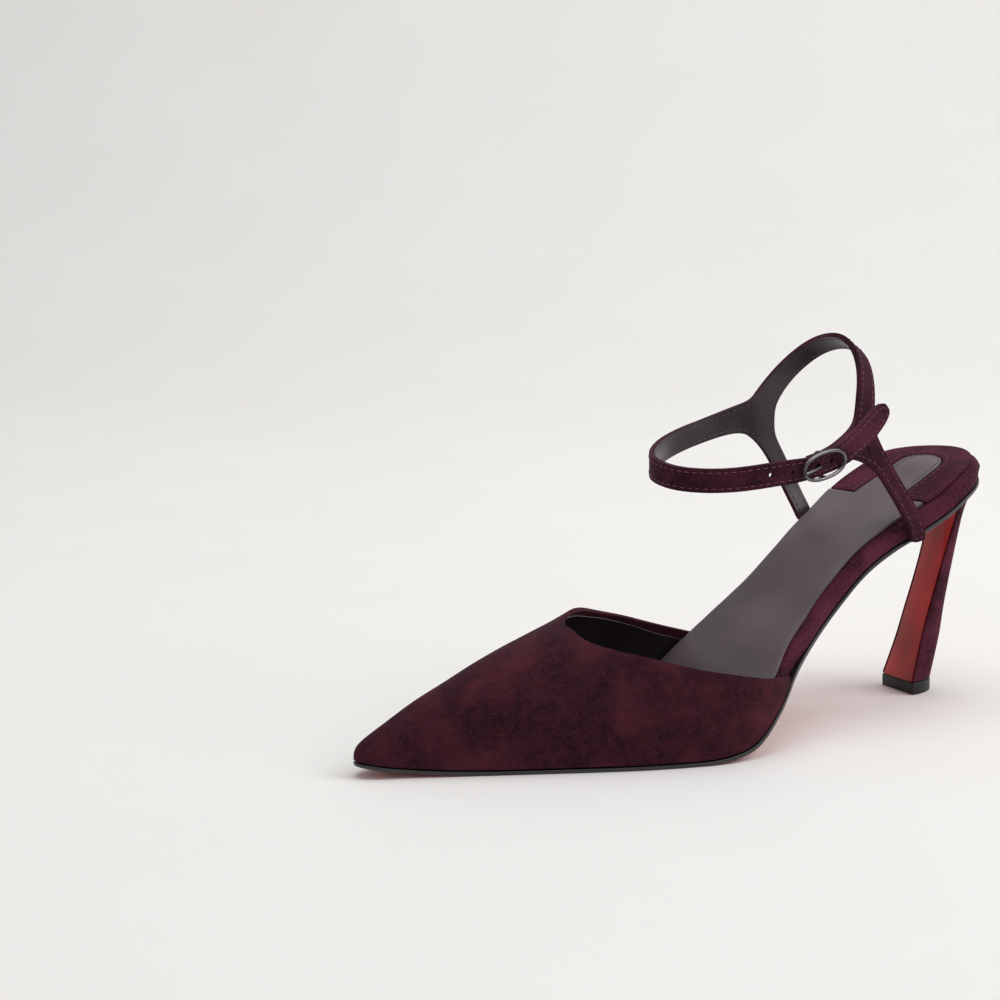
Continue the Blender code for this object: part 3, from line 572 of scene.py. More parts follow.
def band(bm, root, rows):
    """Strip of three points across from the root row outward; root is (left, middle, right)."""
    places = [root[1].co.copy()] + [strap_place(row) for row in rows]
    lines = [root]
    for i, row in enumerate(rows, start=1):
        ahead = places[min(i + 1, len(places) - 1)] - places[i - 1]
        lean = math.radians(row[4])
        up = Vector((-math.sin(lean), 0.0, math.cos(lean)))
        up -= ahead.normalized() * up.dot(ahead.normalized())
        half = up.normalized() * row[3] * STRAP_WIDTH / 2
        lines.append([bm.verts.new(places[i] + half * k) for k in (1, 0, -1)])
    for a, b in zip(lines, lines[1:]):
        bm.faces.new((a[0], b[0], b[1], a[1]))
        bm.faces.new((a[1], b[1], b[2], a[2]))
    return lines[-1]


def junction(bm, places):
    """Meeting of three bands: middle, back corner, upper corner, lower front corner."""
    middle, back, upper, lower = [bm.verts.new(strap_place(p)) for p in places]

    def between(a, b):
        return bm.verts.new((a.co + b.co) / 2)

    down, rear, front = between(lower, back), between(back, upper), between(upper, lower)
    bm.faces.new((middle, down, back, rear))
    bm.faces.new((middle, rear, upper, front))
    bm.faces.new((middle, front, lower, down))
    return {"leg": (lower, down, back), "collar": (upper, rear, back), "front": (upper, front, lower)}


def strap_place_at(share):
    """Middle of the front strap's outer run, with the directions along, across and off it."""
    run = FRONT_STRAP_ROWS[OUTER_RUN:]

    def point(at):
        return strap_place((at, track(run, 1, at), track(run, 2, at)))

    step = 0.004
    ahead = (point(share - step) - point(share + step)).normalized()
    lean = math.radians(track(run, 4, share))
    across = Vector((-math.sin(lean), 0.0, math.cos(lean)))
    across = (across - ahead * across.dot(ahead)).normalized()
    return point(share), ahead, across, across.cross(ahead)


def buckle_place(forward, up, out):
    """Point given from the middle of the strap under the buckle: along it, across it, off it."""
    place, ahead, across, off = strap_place_at(BUCKLE_PLACE)
    return place + ahead * forward + across * up + off * out


def bar_depth():
    """How far the buckle's bar lies inside the strap's middle surface."""
    return STRAP_THICK / 2 + GAP + BUCKLE_WIRE / 2


def prong_root():
    """Distance from the bar's axis to the prong bent round it."""
    return BUCKLE_WIRE / 2 + GAP + PRONG_WIRE / 2


def turned(place, ahead, across, off):
    """Placement matrix with its X forward along the strap, Y across it and Z off it."""
    turn = Matrix((ahead, across, off)).transposed().to_4x4()
    return Matrix.Translation(place) @ turn


# Finishes

def linear(code):
    """An sRGB hex colour in linear light."""
    shares = [int(code[i:i + 2], 16) / 255 for i in (1, 3, 5)]
    return (*[c / 12.92 if c <= 0.04045 else ((c + 0.055) / 1.055) ** 2.4 for c in shares], 1.0)


def node(tree, kind, values, links):
    """Adds one node, with values on its settings or sockets and links into its sockets."""
    made = tree.nodes.new(kind)
    for key, value in values.items():
        if isinstance(key, int) or key in made.inputs:
            made.inputs[key].default_value = value
        else:
            setattr(made, key, value)
    for key, (source, output) in links.items():
        tree.links.new(source.outputs[output], made.inputs[key])
    return made


def finish(name, **values):
    """A new material with constant values on its shader's own sockets, and the place node."""
    material = bpy.data.materials.new(name)
    material.use_nodes = True
    shader = material.node_tree.nodes["Principled BSDF"]
    for key, value in values.items():
        shader.inputs[key.replace("_", " ")].default_value = value
    place = node(material.node_tree, "ShaderNodeTexCoord", {}, {})
    return material, material.node_tree, shader, place


def brushed_suede(name, deep, plain, raised, flecks, strokes_from=0.0):
    """Split calf leather, dyed and brushed: a short nap that lies lighter where it was stroked up."""
    material, tree, shader, place = finish(
        name, Roughness=0.93, Specular_IOR_Level=0.18,
        Sheen_Weight=0.12, Sheen_Roughness=0.40, Sheen_Tint=linear("#b06a80"),
    )
    # Strokes of the hand over the nap, 15 to 30 mm long
    turned_nap = node(
        tree, "ShaderNodeMapping", {"Location": (strokes_from, 0, 0), "Scale": (1.0, 1.5, 1.4)},
        {"Vector": (place, "Object")},
    )
    strokes = node(
        tree, "ShaderNodeTexNoise", {"Scale": 1 / 0.021, "Detail": 3.0, "Distortion": 0.5},
        {"Vector": (turned_nap, 0)},
    )
    stroked = node(
        tree, "ShaderNodeMapRange", {"From Min": 0.42, "From Max": 0.72, "To Max": 0.46},
        {"Value": (strokes, 0)},
    )
    # Tufts of 2 to 4 mm, where the fibres clump
    tufts = node(
        tree, "ShaderNodeTexNoise", {"Scale": 1 / 0.0032, "Detail": 3.0, "Distortion": 0.3},
        {"Vector": (place, "Object")},
    )
    tufted = node(tree, "ShaderNodeMapRange", {"From Min": 0.35, "From Max": 0.70}, {"Value": (tufts, 0)})
    # Single fibres are 0.05 mm and are drawn at 0.5 mm so that they show
    fibres = node(
        tree, "ShaderNodeTexNoise", {"Scale": 1 / 0.0005, "Detail": 2.0}, {"Vector": (place, "Object")}
    )
    speckle = node(
        tree, "ShaderNodeMapRange", {"From Min": 0.46, "From Max": 0.70, "To Max": flecks},
        {"Value": (fibres, 0)},
    )
    dyed = node(
        tree, "ShaderNodeMix", {"data_type": "RGBA", 6: linear(deep), 7: linear(plain)}, {0: (tufted, 0)}
    )
    napped = node(
        tree, "ShaderNodeMix", {"data_type": "RGBA", 7: linear(raised)}, {0: (stroked, 0), 6: (dyed, 2)}
    )
    flecked = node(
        tree, "ShaderNodeMix", {"data_type": "RGBA", 7: linear(raised)}, {0: (speckle, 0), 6: (napped, 2)}
    )
    tree.links.new(flecked.outputs[2], shader.inputs["Base Color"])
    heights = node(
        tree, "ShaderNodeMath", {"operation": "MULTIPLY_ADD", 1: 0.5}, {0: (tufts, 0), 2: (fibres, 0)}
    )
    bump = node(tree, "ShaderNodeBump", {"Strength": 0.5, "Distance": 0.0003}, {"Height": (heights, 0)})
    tree.links.new(bump.outputs[0], shader.inputs["Normal"])
    return material


def smooth_leather(name, colour, shade, roughness):
    """Drum-dyed lining leather, plated smooth: an even colour with a low satin shine and fine pores."""
    material, tree, shader, place = finish(name, Specular_IOR_Level=0.42)
    clouds = node(
        tree, "ShaderNodeTexNoise", {"Scale": 1 / 0.030, "Detail": 2.0}, {"Vector": (place, "Object")}
    )
    clouded = node(tree, "ShaderNodeMapRange", {"From Min": 0.35, "From Max": 0.70}, {"Value": (clouds, 0)})
    mixed = node(
        tree, "ShaderNodeMix", {"data_type": "RGBA", 6: linear(shade), 7: linear(colour)}, {0: (clouded, 0)}
    )
    tree.links.new(mixed.outputs[2], shader.inputs["Base Color"])
    rough = node(
        tree, "ShaderNodeMapRange",
        {"From Min": 0.3, "From Max": 0.7, "To Min": roughness - 0.05, "To Max": roughness + 0.05},
        {"Value": (clouds, 0)},
    )
    tree.links.new(rough.outputs[0], shader.inputs["Roughness"])
    # Pores of 0.2 mm are drawn at 0.9 mm so that they show
    pores = node(
        tree, "ShaderNodeTexVoronoi", {"feature": "DISTANCE_TO_EDGE", "Scale": 1 / 0.0009},
        {"Vector": (place, "Object")},
    )
    bump = node(tree, "ShaderNodeBump", {"Strength": 0.25, "Distance": 0.00006}, {"Height": (pores, 0)})
    tree.links.new(bump.outputs[0], shader.inputs["Normal"])
    return material


def poured_lacquer():
    """Pigmented lacquer over wood and leather: a deep wet gloss with a slow wave in it."""
    material, tree, shader, place = finish(
        "red_lacquer", Roughness=0.30, Coat_Weight=0.7, Coat_Roughness=0.04, IOR=1.45
    )
    drawn = node(tree, "ShaderNodeMapping", {"Scale": (1.0, 1.0, 0.35)}, {"Vector": (place, "Object")})
    wave = node(tree, "ShaderNodeTexNoise", {"Scale": 1 / 0.009, "Detail": 1.0}, {"Vector": (drawn, 0)})
    waved = node(tree, "ShaderNodeMapRange", {"From Min": 0.3, "From Max": 0.7}, {"Value": (wave, 0)})
    mixed = node(
        tree, "ShaderNodeMix", {"data_type": "RGBA", 6: linear("#8a0a06"), 7: linear("#bd1a0c")},
        {0: (waved, 0)}
    )
    tree.links.new(mixed.outputs[2], shader.inputs["Base Color"])
    bump = node(tree, "ShaderNodeBump", {"Strength": 0.25, "Distance": 0.0004}, {"Height": (wave, 0)})
    tree.links.new(bump.outputs[0], shader.inputs["Normal"])
    return material


def waxed_edge():
    """Sole leather edge, inked black and burnished with wax: nearly smooth, with a grey glint."""
    material, tree, shader, place = finish("waxed_edge", Coat_Weight=0.45, Coat_Roughness=0.22)
    layered = node(tree, "ShaderNodeMapping", {"Scale": (0.25, 0.25, 4.0)}, {"Vector": (place, "Object")})
    layers = node(tree, "ShaderNodeTexNoise", {"Scale": 1 / 0.004, "Detail": 2.0}, {"Vector": (layered, 0)})
    parted = node(tree, "ShaderNodeMapRange", {"From Min": 0.3, "From Max": 0.7}, {"Value": (layers, 0)})
    mixed = node(
        tree, "ShaderNodeMix", {"data_type": "RGBA", 6: linear("#0f0d0e"), 7: linear("#1d1a1b")},
        {0: (parted, 0)}
    )
    tree.links.new(mixed.outputs[2], shader.inputs["Base Color"])
    rough = node(tree, "ShaderNodeMapRange", {"To Min": 0.32, "To Max": 0.48}, {"Value": (parted, 0)})
    tree.links.new(rough.outputs[0], shader.inputs["Roughness"])
    bump = node(tree, "ShaderNodeBump", {"Strength": 0.15, "Distance": 0.0002}, {"Height": (layers, 0)})
    tree.links.new(bump.outputs[0], shader.inputs["Normal"])
    return material


def moulded_rubber():
    """Hard injection-moulded rubber: matte black with a little scuffed grey."""
    material, tree, shader, place = finish("hard_rubber", Specular_IOR_Level=0.35)
    scuffs = node(
        tree, "ShaderNodeTexNoise", {"Scale": 1 / 0.0018, "Detail": 4.0, "Distortion": 0.4},
        {"Vector": (place, "Object")},
    )
    scuffed = node(tree, "ShaderNodeMapRange", {"From Min": 0.45, "From Max": 0.75}, {"Value": (scuffs, 0)})
    mixed = node(
        tree, "ShaderNodeMix", {"data_type": "RGBA", 6: linear("#1b1c1b"), 7: linear("#2f312f")},
        {0: (scuffed, 0)}
    )
    tree.links.new(mixed.outputs[2], shader.inputs["Base Color"])
    rough = node(tree, "ShaderNodeMapRange", {"To Min": 0.45, "To Max": 0.62}, {"Value": (scuffed, 0)})
    tree.links.new(rough.outputs[0], shader.inputs["Roughness"])
    bump = node(tree, "ShaderNodeBump", {"Strength": 0.2, "Distance": 0.0001}, {"Height": (scuffs, 0)})
    tree.links.new(bump.outputs[0], shader.inputs["Normal"])
    return material


def plated_steel():
    """Polished steel wire under nickel plate: bright, with hair-fine polishing marks."""
    # The dark grey base colour is a painted reflection: it stands in for the dark surroundings that the
    # polished wire mirrors
    material, tree, shader, place = finish("plated_steel", Base_Color=linear("#69666a"), Metallic=1.0)
    drawn = node(tree, "ShaderNodeMapping", {"Scale": (1.0, 6.0, 6.0)}, {"Vector": (place, "Object")})
    marks = node(tree, "ShaderNodeTexNoise", {"Scale": 1 / 0.0006, "Detail": 3.0}, {"Vector": (drawn, 0)})
    rough = node(
        tree, "ShaderNodeMapRange", {"From Min": 0.3, "From Max": 0.7, "To Min": 0.12, "To Max": 0.26},
        {"Value": (marks, 0)},
    )
    tree.links.new(rough.outputs[0], shader.inputs["Roughness"])
    return material


def twisted_thread(name, dark, light):
    """Bonded polyester thread, 0.3 mm: a soft satin twist."""
    material, tree, shader, place = finish(name, Roughness=0.6, Specular_IOR_Level=0.3)
    twist = node(
        tree, "ShaderNodeTexNoise", {"Scale": 1 / 0.0004, "Detail": 1.0}, {"Vector": (place, "Object")}
    )
    twisted = node(tree, "ShaderNodeMapRange", {"From Min": 0.35, "From Max": 0.65}, {"Value": (twist, 0)})
    mixed = node(
        tree, "ShaderNodeMix", {"data_type": "RGBA", 6: linear(dark), 7: linear(light)}, {0: (twisted, 0)}
    )
    tree.links.new(mixed.outputs[2], shader.inputs["Base Color"])
    return material


vamp_suede = brushed_suede("vamp_suede", "#1e090f", "#36131d", "#642a3a", 0.38)
strap_suede = brushed_suede("strap_suede", "#1b080e", "#2d0f18", "#652d40", 0.55, 0.4)
cover_suede = brushed_suede("cover_suede", "#21090f", "#34101b", "#74324a", 0.60, 0.9)
sock_leather = smooth_leather("sock_leather", "#665a5f", "#54484d", 0.46)
vamp_lining = smooth_leather("vamp_lining", "#21181a", "#181012", 0.50)
# The lining's cut edge is coloured light grey as a painted highlight along the topline
lining_edge_highlight = smooth_leather("lining_edge_highlight", "#8d8582", "#7a7270", 0.60)
# The strap's lining is coloured lighter than the vamp's: painted sheen where its gloss catches the light at
# the strap's junctions
strap_lining_painted_sheen = smooth_leather("strap_lining_painted_sheen", "#4a4043", "#352c2f", 0.34)
red_lacquer = poured_lacquer()
sole_edge = waxed_edge()
hard_rubber = moulded_rubber()
plated = plated_steel()
suede_thread = twisted_thread("suede_thread", "#54283a", "#84506a")
lining_thread = twisted_thread("lining_thread", "#4c4245", "#6b6063")


# Making and placing

def piece(name, bm, finishes, nodes=(), smooth_angle=45, carried=True):
    """Turns a made shape into a piece that rides on the shoe and stands for the given nodes."""
    mesh = bpy.data.meshes.new(name)
    bm.to_mesh(mesh)
    bm.free()
    if carried:
        mesh.transform(PLACE)
    for material in finishes:
        mesh.materials.append(material)
    mesh.shade_smooth()
    mesh.set_sharp_from_angle(angle=math.radians(smooth_angle))
    thing = bpy.data.objects.new(name, mesh)
    bpy.context.scene.collection.objects.link(thing)
    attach(thing, "root")
    if nodes:
        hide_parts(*nodes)
    return thing


def shape_of(bm, modifiers, materials=1):
    """The shape after modifiers, each (kind, settings), as a new bmesh."""
    mesh = bpy.data.meshes.new("shaping")
    bm.to_mesh(mesh)
    bm.free()
    for _ in range(materials):
        mesh.materials.append(None)
    thing = bpy.data.objects.new("shaping", mesh)
    bpy.context.scene.collection.objects.link(thing)
    for kind, settings in modifiers:
        modifier = thing.modifiers.new(kind.lower(), kind)
        for key, value in settings.items():
            setattr(modifier, key, value)
    bpy.context.view_layer.update()
    worked = thing.evaluated_get(bpy.context.evaluated_depsgraph_get())
    result = bmesh.new()
    result.from_mesh(worked.to_mesh())
    worked.to_mesh_clear()
    bpy.data.objects.remove(thing, do_unlink=True)
    bpy.data.meshes.remove(mesh)
    return result


def walled(thickness, offset, **more):
    """Modifier that gives a sheet its thickness."""
    return "SOLIDIFY", {"thickness": thickness, "offset": offset, **more}


def rounded(width, segments, angle=1.0):
    """Modifier that rounds the edges which turn by more than an angle."""
    return "BEVEL", {"width": width, "segments": segments, "limit_method": "ANGLE", "angle_limit": angle}


def face_outward(bm, out_of):
    """Turns an open sheet so that most of its faces look away from a point inside."""
    bmesh.ops.recalc_face_normals(bm, faces=bm.faces)
    outward = [f.normal.dot(f.calc_center_median() - out_of) for f in bm.faces]
    votes = sum(math.copysign(f.calc_area(), side) for f, side in zip(bm.faces, outward))
    if votes < 0:
        bmesh.ops.reverse_faces(bm, faces=bm.faces)


def sheet_grid(rows):
    """Open sheet through rows of equally many points."""
    bm = bmesh.new()
    join_rows(bm, [[bm.verts.new(p) for p in row] for row in rows])
    return bm


def sew(bm, marks):
    """Adds stitches; marks are (place, direction of the seam, outward direction)."""
    for place, along, out in marks:
        side = out.cross(along).normalized()
        turn = Matrix((along.normalized(), side, out.normalized())).transposed().to_4x4()
        size = Matrix.Diagonal((STITCH_LENGTH / 2, STITCH_RADIUS, STITCH_RADIUS, 1.0))
        bmesh.ops.create_icosphere(
            bm, subdivisions=2, radius=1.0, matrix=Matrix.Translation(place) @ turn @ size
        )


def evenly(path, pitch):
    """Places at equal steps along a chain of points, each with the direction of the chain."""
    marks, left = [], pitch / 2
    for a, b in zip(path, path[1:]):
        run = (b - a).length
        while left < run:
            marks.append((a + (b - a) * (left / run), (b - a).normalized()))
            left += pitch
        left -= run
    return marks


def layered_board(shares, start, end, rings):
    """Closed board on the sole's surface through rings listed from below to above."""
    bm = bmesh.new()
    loops = []
    for inset, lift in rings:
        outer, inner = ring_points(shares, start, end, inset, lift)
        tip = bm.verts.new((outer[0] + inner[0]) / 2)
        tail = bm.verts.new((outer[-1] + inner[-1]) / 2)
        left = [tip] + [bm.verts.new(p) for p in outer[1:-1]] + [tail]
        right = [tip] + [bm.verts.new(p) for p in inner[1:-1]] + [tail]
        loops.append((left, right))
    for (left_a, right_a), (left_b, right_b) in zip(loops, loops[1:]):
        for i in range(len(shares) - 1):
            bm.faces.new((left_a[i], left_a[i + 1], left_b[i + 1], left_b[i]))
            bm.faces.new((right_a[i + 1], right_a[i], right_b[i], right_b[i + 1]))
    for left, right in (loops[0], loops[-1]):
        strip_faces(bm, left, right)
    bmesh.ops.recalc_face_normals(bm, faces=bm.faces)
    return bm


# Sole

def dress_outsole():
    """Thin leather sole: black waxed edge, red lacquered underside."""
    edge = SOLE_EDGE_ROUND
    turns = spread(0.3, math.pi / 2, 4)
    profile = [(0.0016, 0.0), (edge, 0.0)]
    profile += [(edge * (1 - math.sin(a)), edge * (1 - math.cos(a))) for a in turns]
    profile += [(0.0, SOLE_THICK - edge)]
    profile += [(edge * (1 - math.cos(a)), SOLE_THICK - edge * (1 - math.sin(a))) for a in turns]
    rings = [(lambda x, i=inset: i, lambda x, h=height: h) for inset, height in profile]
    bm = layered_board(stations(14, 110, 22), 0.0, LENGTH * SEAT_END, rings)
    for face in bm.faces:
        middle = face.calc_center_median()
        low = middle.z < sole_bottom(middle.x, middle.y) + UNDERSIDE_DEPTH
        face.material_index = int(low and face.normal.z < -0.3)
    piece("leather_sole", bm, [sole_edge, red_lacquer], ["outsole"], 60)


def dress_footbed():
    """Board wrapped in suede: an upright side, a soft ridge and a shoulder that dips to the sock."""
    floor = SOLE_THICK + GAP

    def ring(extra, rise, climb, across=0.0):
        """A ring at shares of the side's height, of the shoulder's climb and of its width."""

        def inset(x):
            return BOARD_EDGE_INSET + extra + shoulder(x)[0] * across + board_side(x)

        def lift(x):
            drop = shoulder(x)[1]
            return floor + (board_thick(x) - drop) * rise + drop * climb

        return inset, lift

    rings = [ring(0.0006, 0.0, 0.0), ring(0.00015, 0.03, 0.0), ring(0.0, 0.12, 0.0)]
    rings += [ring(-0.00015, 0.45, 0.0), ring(0.0, 0.80, 0.0), ring(0.0001, 0.90, 0.0)]
    rings += [ring(0.0003, 0.97, 0.0), ring(0.0006, 1.0, 0.06), ring(0.0010, 1.0, 0.22)]
    rings += [ring(0.0, 1.0, 0.70, 0.7), ring(0.0, 1.0, 1.0, 1.0), ring(0.002, 1.0, 1.0, 1.0)]
    start, end = BOARD_START, LENGTH * SEAT_END
    steps = [(x - start) / (end - start) for x in vamp_end()]
    shares = [s for s in stations(12, 130, 24) if min(abs(s - step) for step in steps) > 0.004]
    bm = layered_board(sorted(shares + steps), start, end, rings)
    piece("covered_footbed", bm, [cover_suede], ["footbed"], 70)


# Sock and heel pad

def lay_stitches(name, path, onto, thread):
    """Stitches along a path, pressed on to the top of a piece."""
    tree = BVHTree.FromObject(onto, bpy.context.evaluated_depsgraph_get())
    bm = bmesh.new()
    marks = []
    for place, along in evenly(path, SEAM_PITCH):
        high = PLACE @ place + Vector((0.0, 0.0, 0.01))
        hit, normal, _, _ = tree.ray_cast(high, Vector((0.0, 0.0, -1.0)), 0.02)
        if hit:
            marks.append((hit + normal * STITCH_RADIUS * STITCH_SUNK, along, normal))
    sew(bm, marks)
    return piece(name, bm, [thread], (), 60, False)


def dress_sock():
    """Grey leather over the footbed, with a seam round the end of its tongue."""
    strip, middle = 8, 10
    full = [sock_row(x, strip, middle) for x in spread(SOCK_START + 0.002, sock_front(), 150)]
    bm = bmesh.new()
    rows = [[bm.verts.new(p) for p in row] for row in full]
    join_rows(bm, rows)
    tongue = [tongue_row(x, middle) for x in tongue_places(16, 18)]
    tongue_rows = [[bm.verts.new(p) for p in row] for row in tongue]
    join_rows(bm, [rows[-1][strip:strip + middle + 1]] + tongue_rows)
    face_outward(bm, Vector((0.125, 0.0, -0.5)))
    bm = shape_of(bm, (walled(SOCK_THICK, 1), rounded(SOCK_BEVEL, 2)))
    thing = piece("leather_sock", bm, [sock_leather], ["sock"], 50)
    left, right = [], []
    for row in tongue[8:-3]:
        share = SEAM_INSET / (row[-1] - row[0]).length
        left.append(row[0].lerp(row[-1], share))
        right.append(row[-1].lerp(row[0], share))
    lay_stitches("tongue_stitches", left + right[::-1], thing, lining_thread)


def dress_heel_pad():
    """Suede cushion on the seat, with a stitched edge round the sock's tongue."""
    rows, seam = [], []
    for turn in spread(-1, 1, 121):
        inner, outer = pad_edges(turn)
        rows.append([on_footbed(*inner.lerp(outer, k)) for k in spread(0, 1, 13)])
        seam.append(on_footbed(*inner.lerp(outer, SEAM_INSET / (outer - inner).length)))
    bm = sheet_grid(rows)
    face_outward(bm, Vector((0.225, 0.0, -0.5)))
    bm = shape_of(bm, (walled(PAD_THICK, 1), rounded(PAD_BEVEL, 3)))
    thing = piece("seat_pad", bm, [cover_suede], ["heel_pad"], 50)
    lay_stitches("pad_stitches", seam, thing, suede_thread)
    for number, turn in enumerate((-1, 1)):
        inner, outer = pad_edges(turn)
        back = Vector((SEAM_INSET, 0.0, 0.0))
        line = [on_footbed(*inner.lerp(outer, k)) + back for k in spread(0.1, 0.95, 10)]
        lay_stitches(f"pad_arm_stitches_{number}", line, thing, suede_thread)


# Vamp

def vamp_columns(turn_count, row_count, toe_x, short=0.0):
    """Columns of the vamp's outer face, from the toe to the topline less a margin."""
    ends = []
    for turn in spread(-1, 1, turn_count):
        x = track(TOPLINE_ROWS, 1, turn) * LENGTH
        height = track(TOPLINE_ROWS, 2, turn) * INSTEP_RISE
        angle = math.pi / 2 if abs(turn) < 1e-9 else topline_angle(x, height, turn < 0)
        # The topline runs along the ridge at the throat, where one column is enough
        if not ends or angle - ends[-1][1] > COLUMN_TURN:
            ends.append((x, angle))
    first, last = ends[0], ends[-1]
    low_part = spread(0, 1, 9)[:-1]
    edge = [(first[0], first[1] * k) for k in low_part]
    far_edge = [(last[0], math.pi - (math.pi - last[1]) * k) for k in reversed(low_part)]
    columns = []
    for x_end, angle in edge + ends + far_edge:
        run = x_end - short - toe_x
        # Rows lie closer at the toe, where the vamp curves most
        columns.append([arch_point(toe_x + run * k ** 1.6, angle) for k in spread(0, 1, row_count + 1)])
    return columns


def dress_vamp():
    """Lasted suede upper whose edge is turned in over the lining."""
    columns = vamp_columns(121, 84, 0.0003)
    bm = sheet_grid(columns)
    bm.verts.ensure_lookup_table()
    count = len(columns[0])
    bm.faces.new([bm.verts[i * count] for i in range(len(columns))])
    face_outward(bm, Vector((0.06, -0.002, 0.012)))
    bm = shape_of(bm, (walled(VAMP_WALL, -1), rounded(RIM_BEVEL, 3)))
    piece("suede_vamp", bm, [vamp_suede], ["vamp"], 55)

    lining = sheet_grid(vamp_columns(81, 60, LINING_START, TURNED_EDGE))
    face_outward(lining, Vector((0.06, -0.002, 0.012)))
    lining.normal_update()
    for v in lining.verts:
        v.co -= v.normal * (VAMP_WALL - 0.0001)
    # The lining's rim takes the second finish, whose light grey is a painted highlight along the topline
    bm = shape_of(lining, (walled(LINING_THICK, -1, material_offset_rim=1),), 2)
    piece("vamp_lining", bm, [vamp_lining, lining_edge_highlight], (), 55)


# Heel

def closed_loft(rings):
    """Closed body through rings of equally many points, with a flat face on each end."""
    bm = bmesh.new()
    loops = [[bm.verts.new(p) for p in ring] for ring in rings]
    count = len(loops[0])
    for a, b in zip(loops, loops[1:]):
        for i in range(count):
            j = (i + 1) % count
            bm.faces.new((a[i], a[j], b[j], b[i]))
    for loop in (loops[0], loops[-1]):
        bm.faces.new(loop)
    bmesh.ops.recalc_face_normals(bm, faces=bm.faces)
    return bm


def heel_height(x, y, share):
    """Height at a share of the way from the toplift to the sole."""
    bottom = TOPLIFT_THICK + GAP
    return bottom + (sole_bottom(x, y) - GAP - bottom) * share


def heel_outline(share, pocket_depth, back_points):
    """D-shaped outline; its flat front holds the pocket for the breast."""
    front_x, depth, half = heel_section(share)
    pocket = half - BREAST_MARGIN
    floor_x = front_x + pocket_depth
    points = [(front_x, HEEL_SIDE - half), (front_x, HEEL_SIDE - pocket)]
    points += [(floor_x, HEEL_SIDE - pocket), (floor_x, HEEL_SIDE), (floor_x, HEEL_SIDE + pocket)]
    points += [(front_x, HEEL_SIDE + pocket), (front_x, HEEL_SIDE + half)]
    turns = spread(math.pi / 2, -math.pi / 2, back_points + 2)[1:-1]
    points += [(front_x + depth * math.cos(a), HEEL_SIDE + half * math.sin(a)) for a in turns]
    return points


def lip_rings(count):
    """Upstand behind the seat, as rings from its outer to its inner end."""
    end = LENGTH * SEAT_END
    half = full_half_width(end)
    seat_top = above_sole(end, centre(end), SOLE_THICK + GAP + SEAT_BOARD)
    rings = []
    for k in spread(-1, 1, count):
        y = centre(end) + k * LIP_HALF_WIDTH
        bow = SEAT_ROUND * (1 - math.sqrt(1 - (k * LIP_HALF_WIDTH / half) ** 2))
        front = end + GAP - bow
        taper = 1 - LIP_SIDE_SHARE * k * k
        low = seat_top - LIP_DEPTH * taper
        high = seat_top - LIP_BELOW_SEAT * (1 + k * k)
        low_back = front + LIP_LOW_THICK * taper
        high_back = front + LIP_HIGH_THICK * taper
        swell, rise = high_back - low_back, high - low
        ring = [(front, y, low)]
        ring += [(low_back + swell * t, y, low + rise * t) for t in spread(0, 0.9, 8)]
        ring += [(high_back - LIP_TOP_ROUND, y, high), (front, y, high)]
        rings.append(ring)
    return rings


def dress_heel():
    """Heel block wrapped in suede, with a lacquered plate let into its front."""
    levels = spread(0, 1, 70)
    back_points = 22
    rings = []
    for share in levels:
        outline = heel_outline(share, BREAST_THICK + GAP, back_points)
        rings.append([(x, y, heel_height(x, y, share)) for x, y in outline])
    bm = shape_of(closed_loft(rings), (rounded(HEEL_BEVEL, 2, 0.9),))
    lip = bpy.data.meshes.new("lip")
    made = closed_loft(lip_rings(33))
    made.to_mesh(lip)
    made.free()
    bm.from_mesh(lip)
    bpy.data.meshes.remove(lip)
    piece("covered_heel", bm, [cover_suede], ["heel"], 50)

    rings = []
    for share in levels:
        front_x, _, half = heel_section(share)
        half -= BREAST_MARGIN + GAP
        outline = [(front_x - BREAST_CROWN * (1 - k * k), HEEL_SIDE + half * k) for k in spread(-1, 1, 17)]
        outline += [(front_x + BREAST_THICK, HEEL_SIDE + half), (front_x + BREAST_THICK, HEEL_SIDE - half)]
        rings.append([(x, y, heel_height(x, y, share)) for x, y in outline])
    bm = closed_loft(rings)
    piece("lacquered_breast", bm, [red_lacquer], ["heel_breast"], 60)

    front_x, depth, half = heel_section(0)
    outline = [(front_x, HEEL_SIDE - half), (front_x, HEEL_SIDE + half)]
    turns = spread(math.pi / 2, -math.pi / 2, back_points + 2)[1:-1]
    outline += [(front_x + depth * math.cos(a), HEEL_SIDE + half * math.sin(a)) for a in turns]
    rings = [[(x, y, z) for x, y in outline] for z in (0.0, TOPLIFT_THICK)]
    bm = shape_of(closed_loft(rings), (rounded(LIFT_BEVEL, 3, 0.9),))
    piece("rubber_toplift", bm, [hard_rubber], ["toplift"], 40)


# Strap and buckle

def strap_sheet():
    """The strap's middle surface, smoothed, with its outward side up."""
    bm = bmesh.new()
    outer = junction(bm, OUTER_JUNCTION)
    inner = junction(bm, INNER_JUNCTION)
    band(bm, outer["leg"], OUTER_LEG_ROWS)
    band(bm, inner["leg"], INNER_LEG_ROWS)
    collar_end = band(bm, outer["collar"], COLLAR_ROWS)
    upper, rear, back = inner["collar"]
    bm.faces.new((collar_end[0], upper, rear, collar_end[1]))
    bm.faces.new((collar_end[1], rear, back, collar_end[2]))
    band(bm, inner["front"], FRONT_STRAP_ROWS)
    band(bm, outer["front"], TAB_ROWS)
    face_outward(bm, Vector((0.165, 0.0, 0.095)))
    return shape_of(bm, (("SUBSURF", {"levels": 3, "render_levels": 3}),))


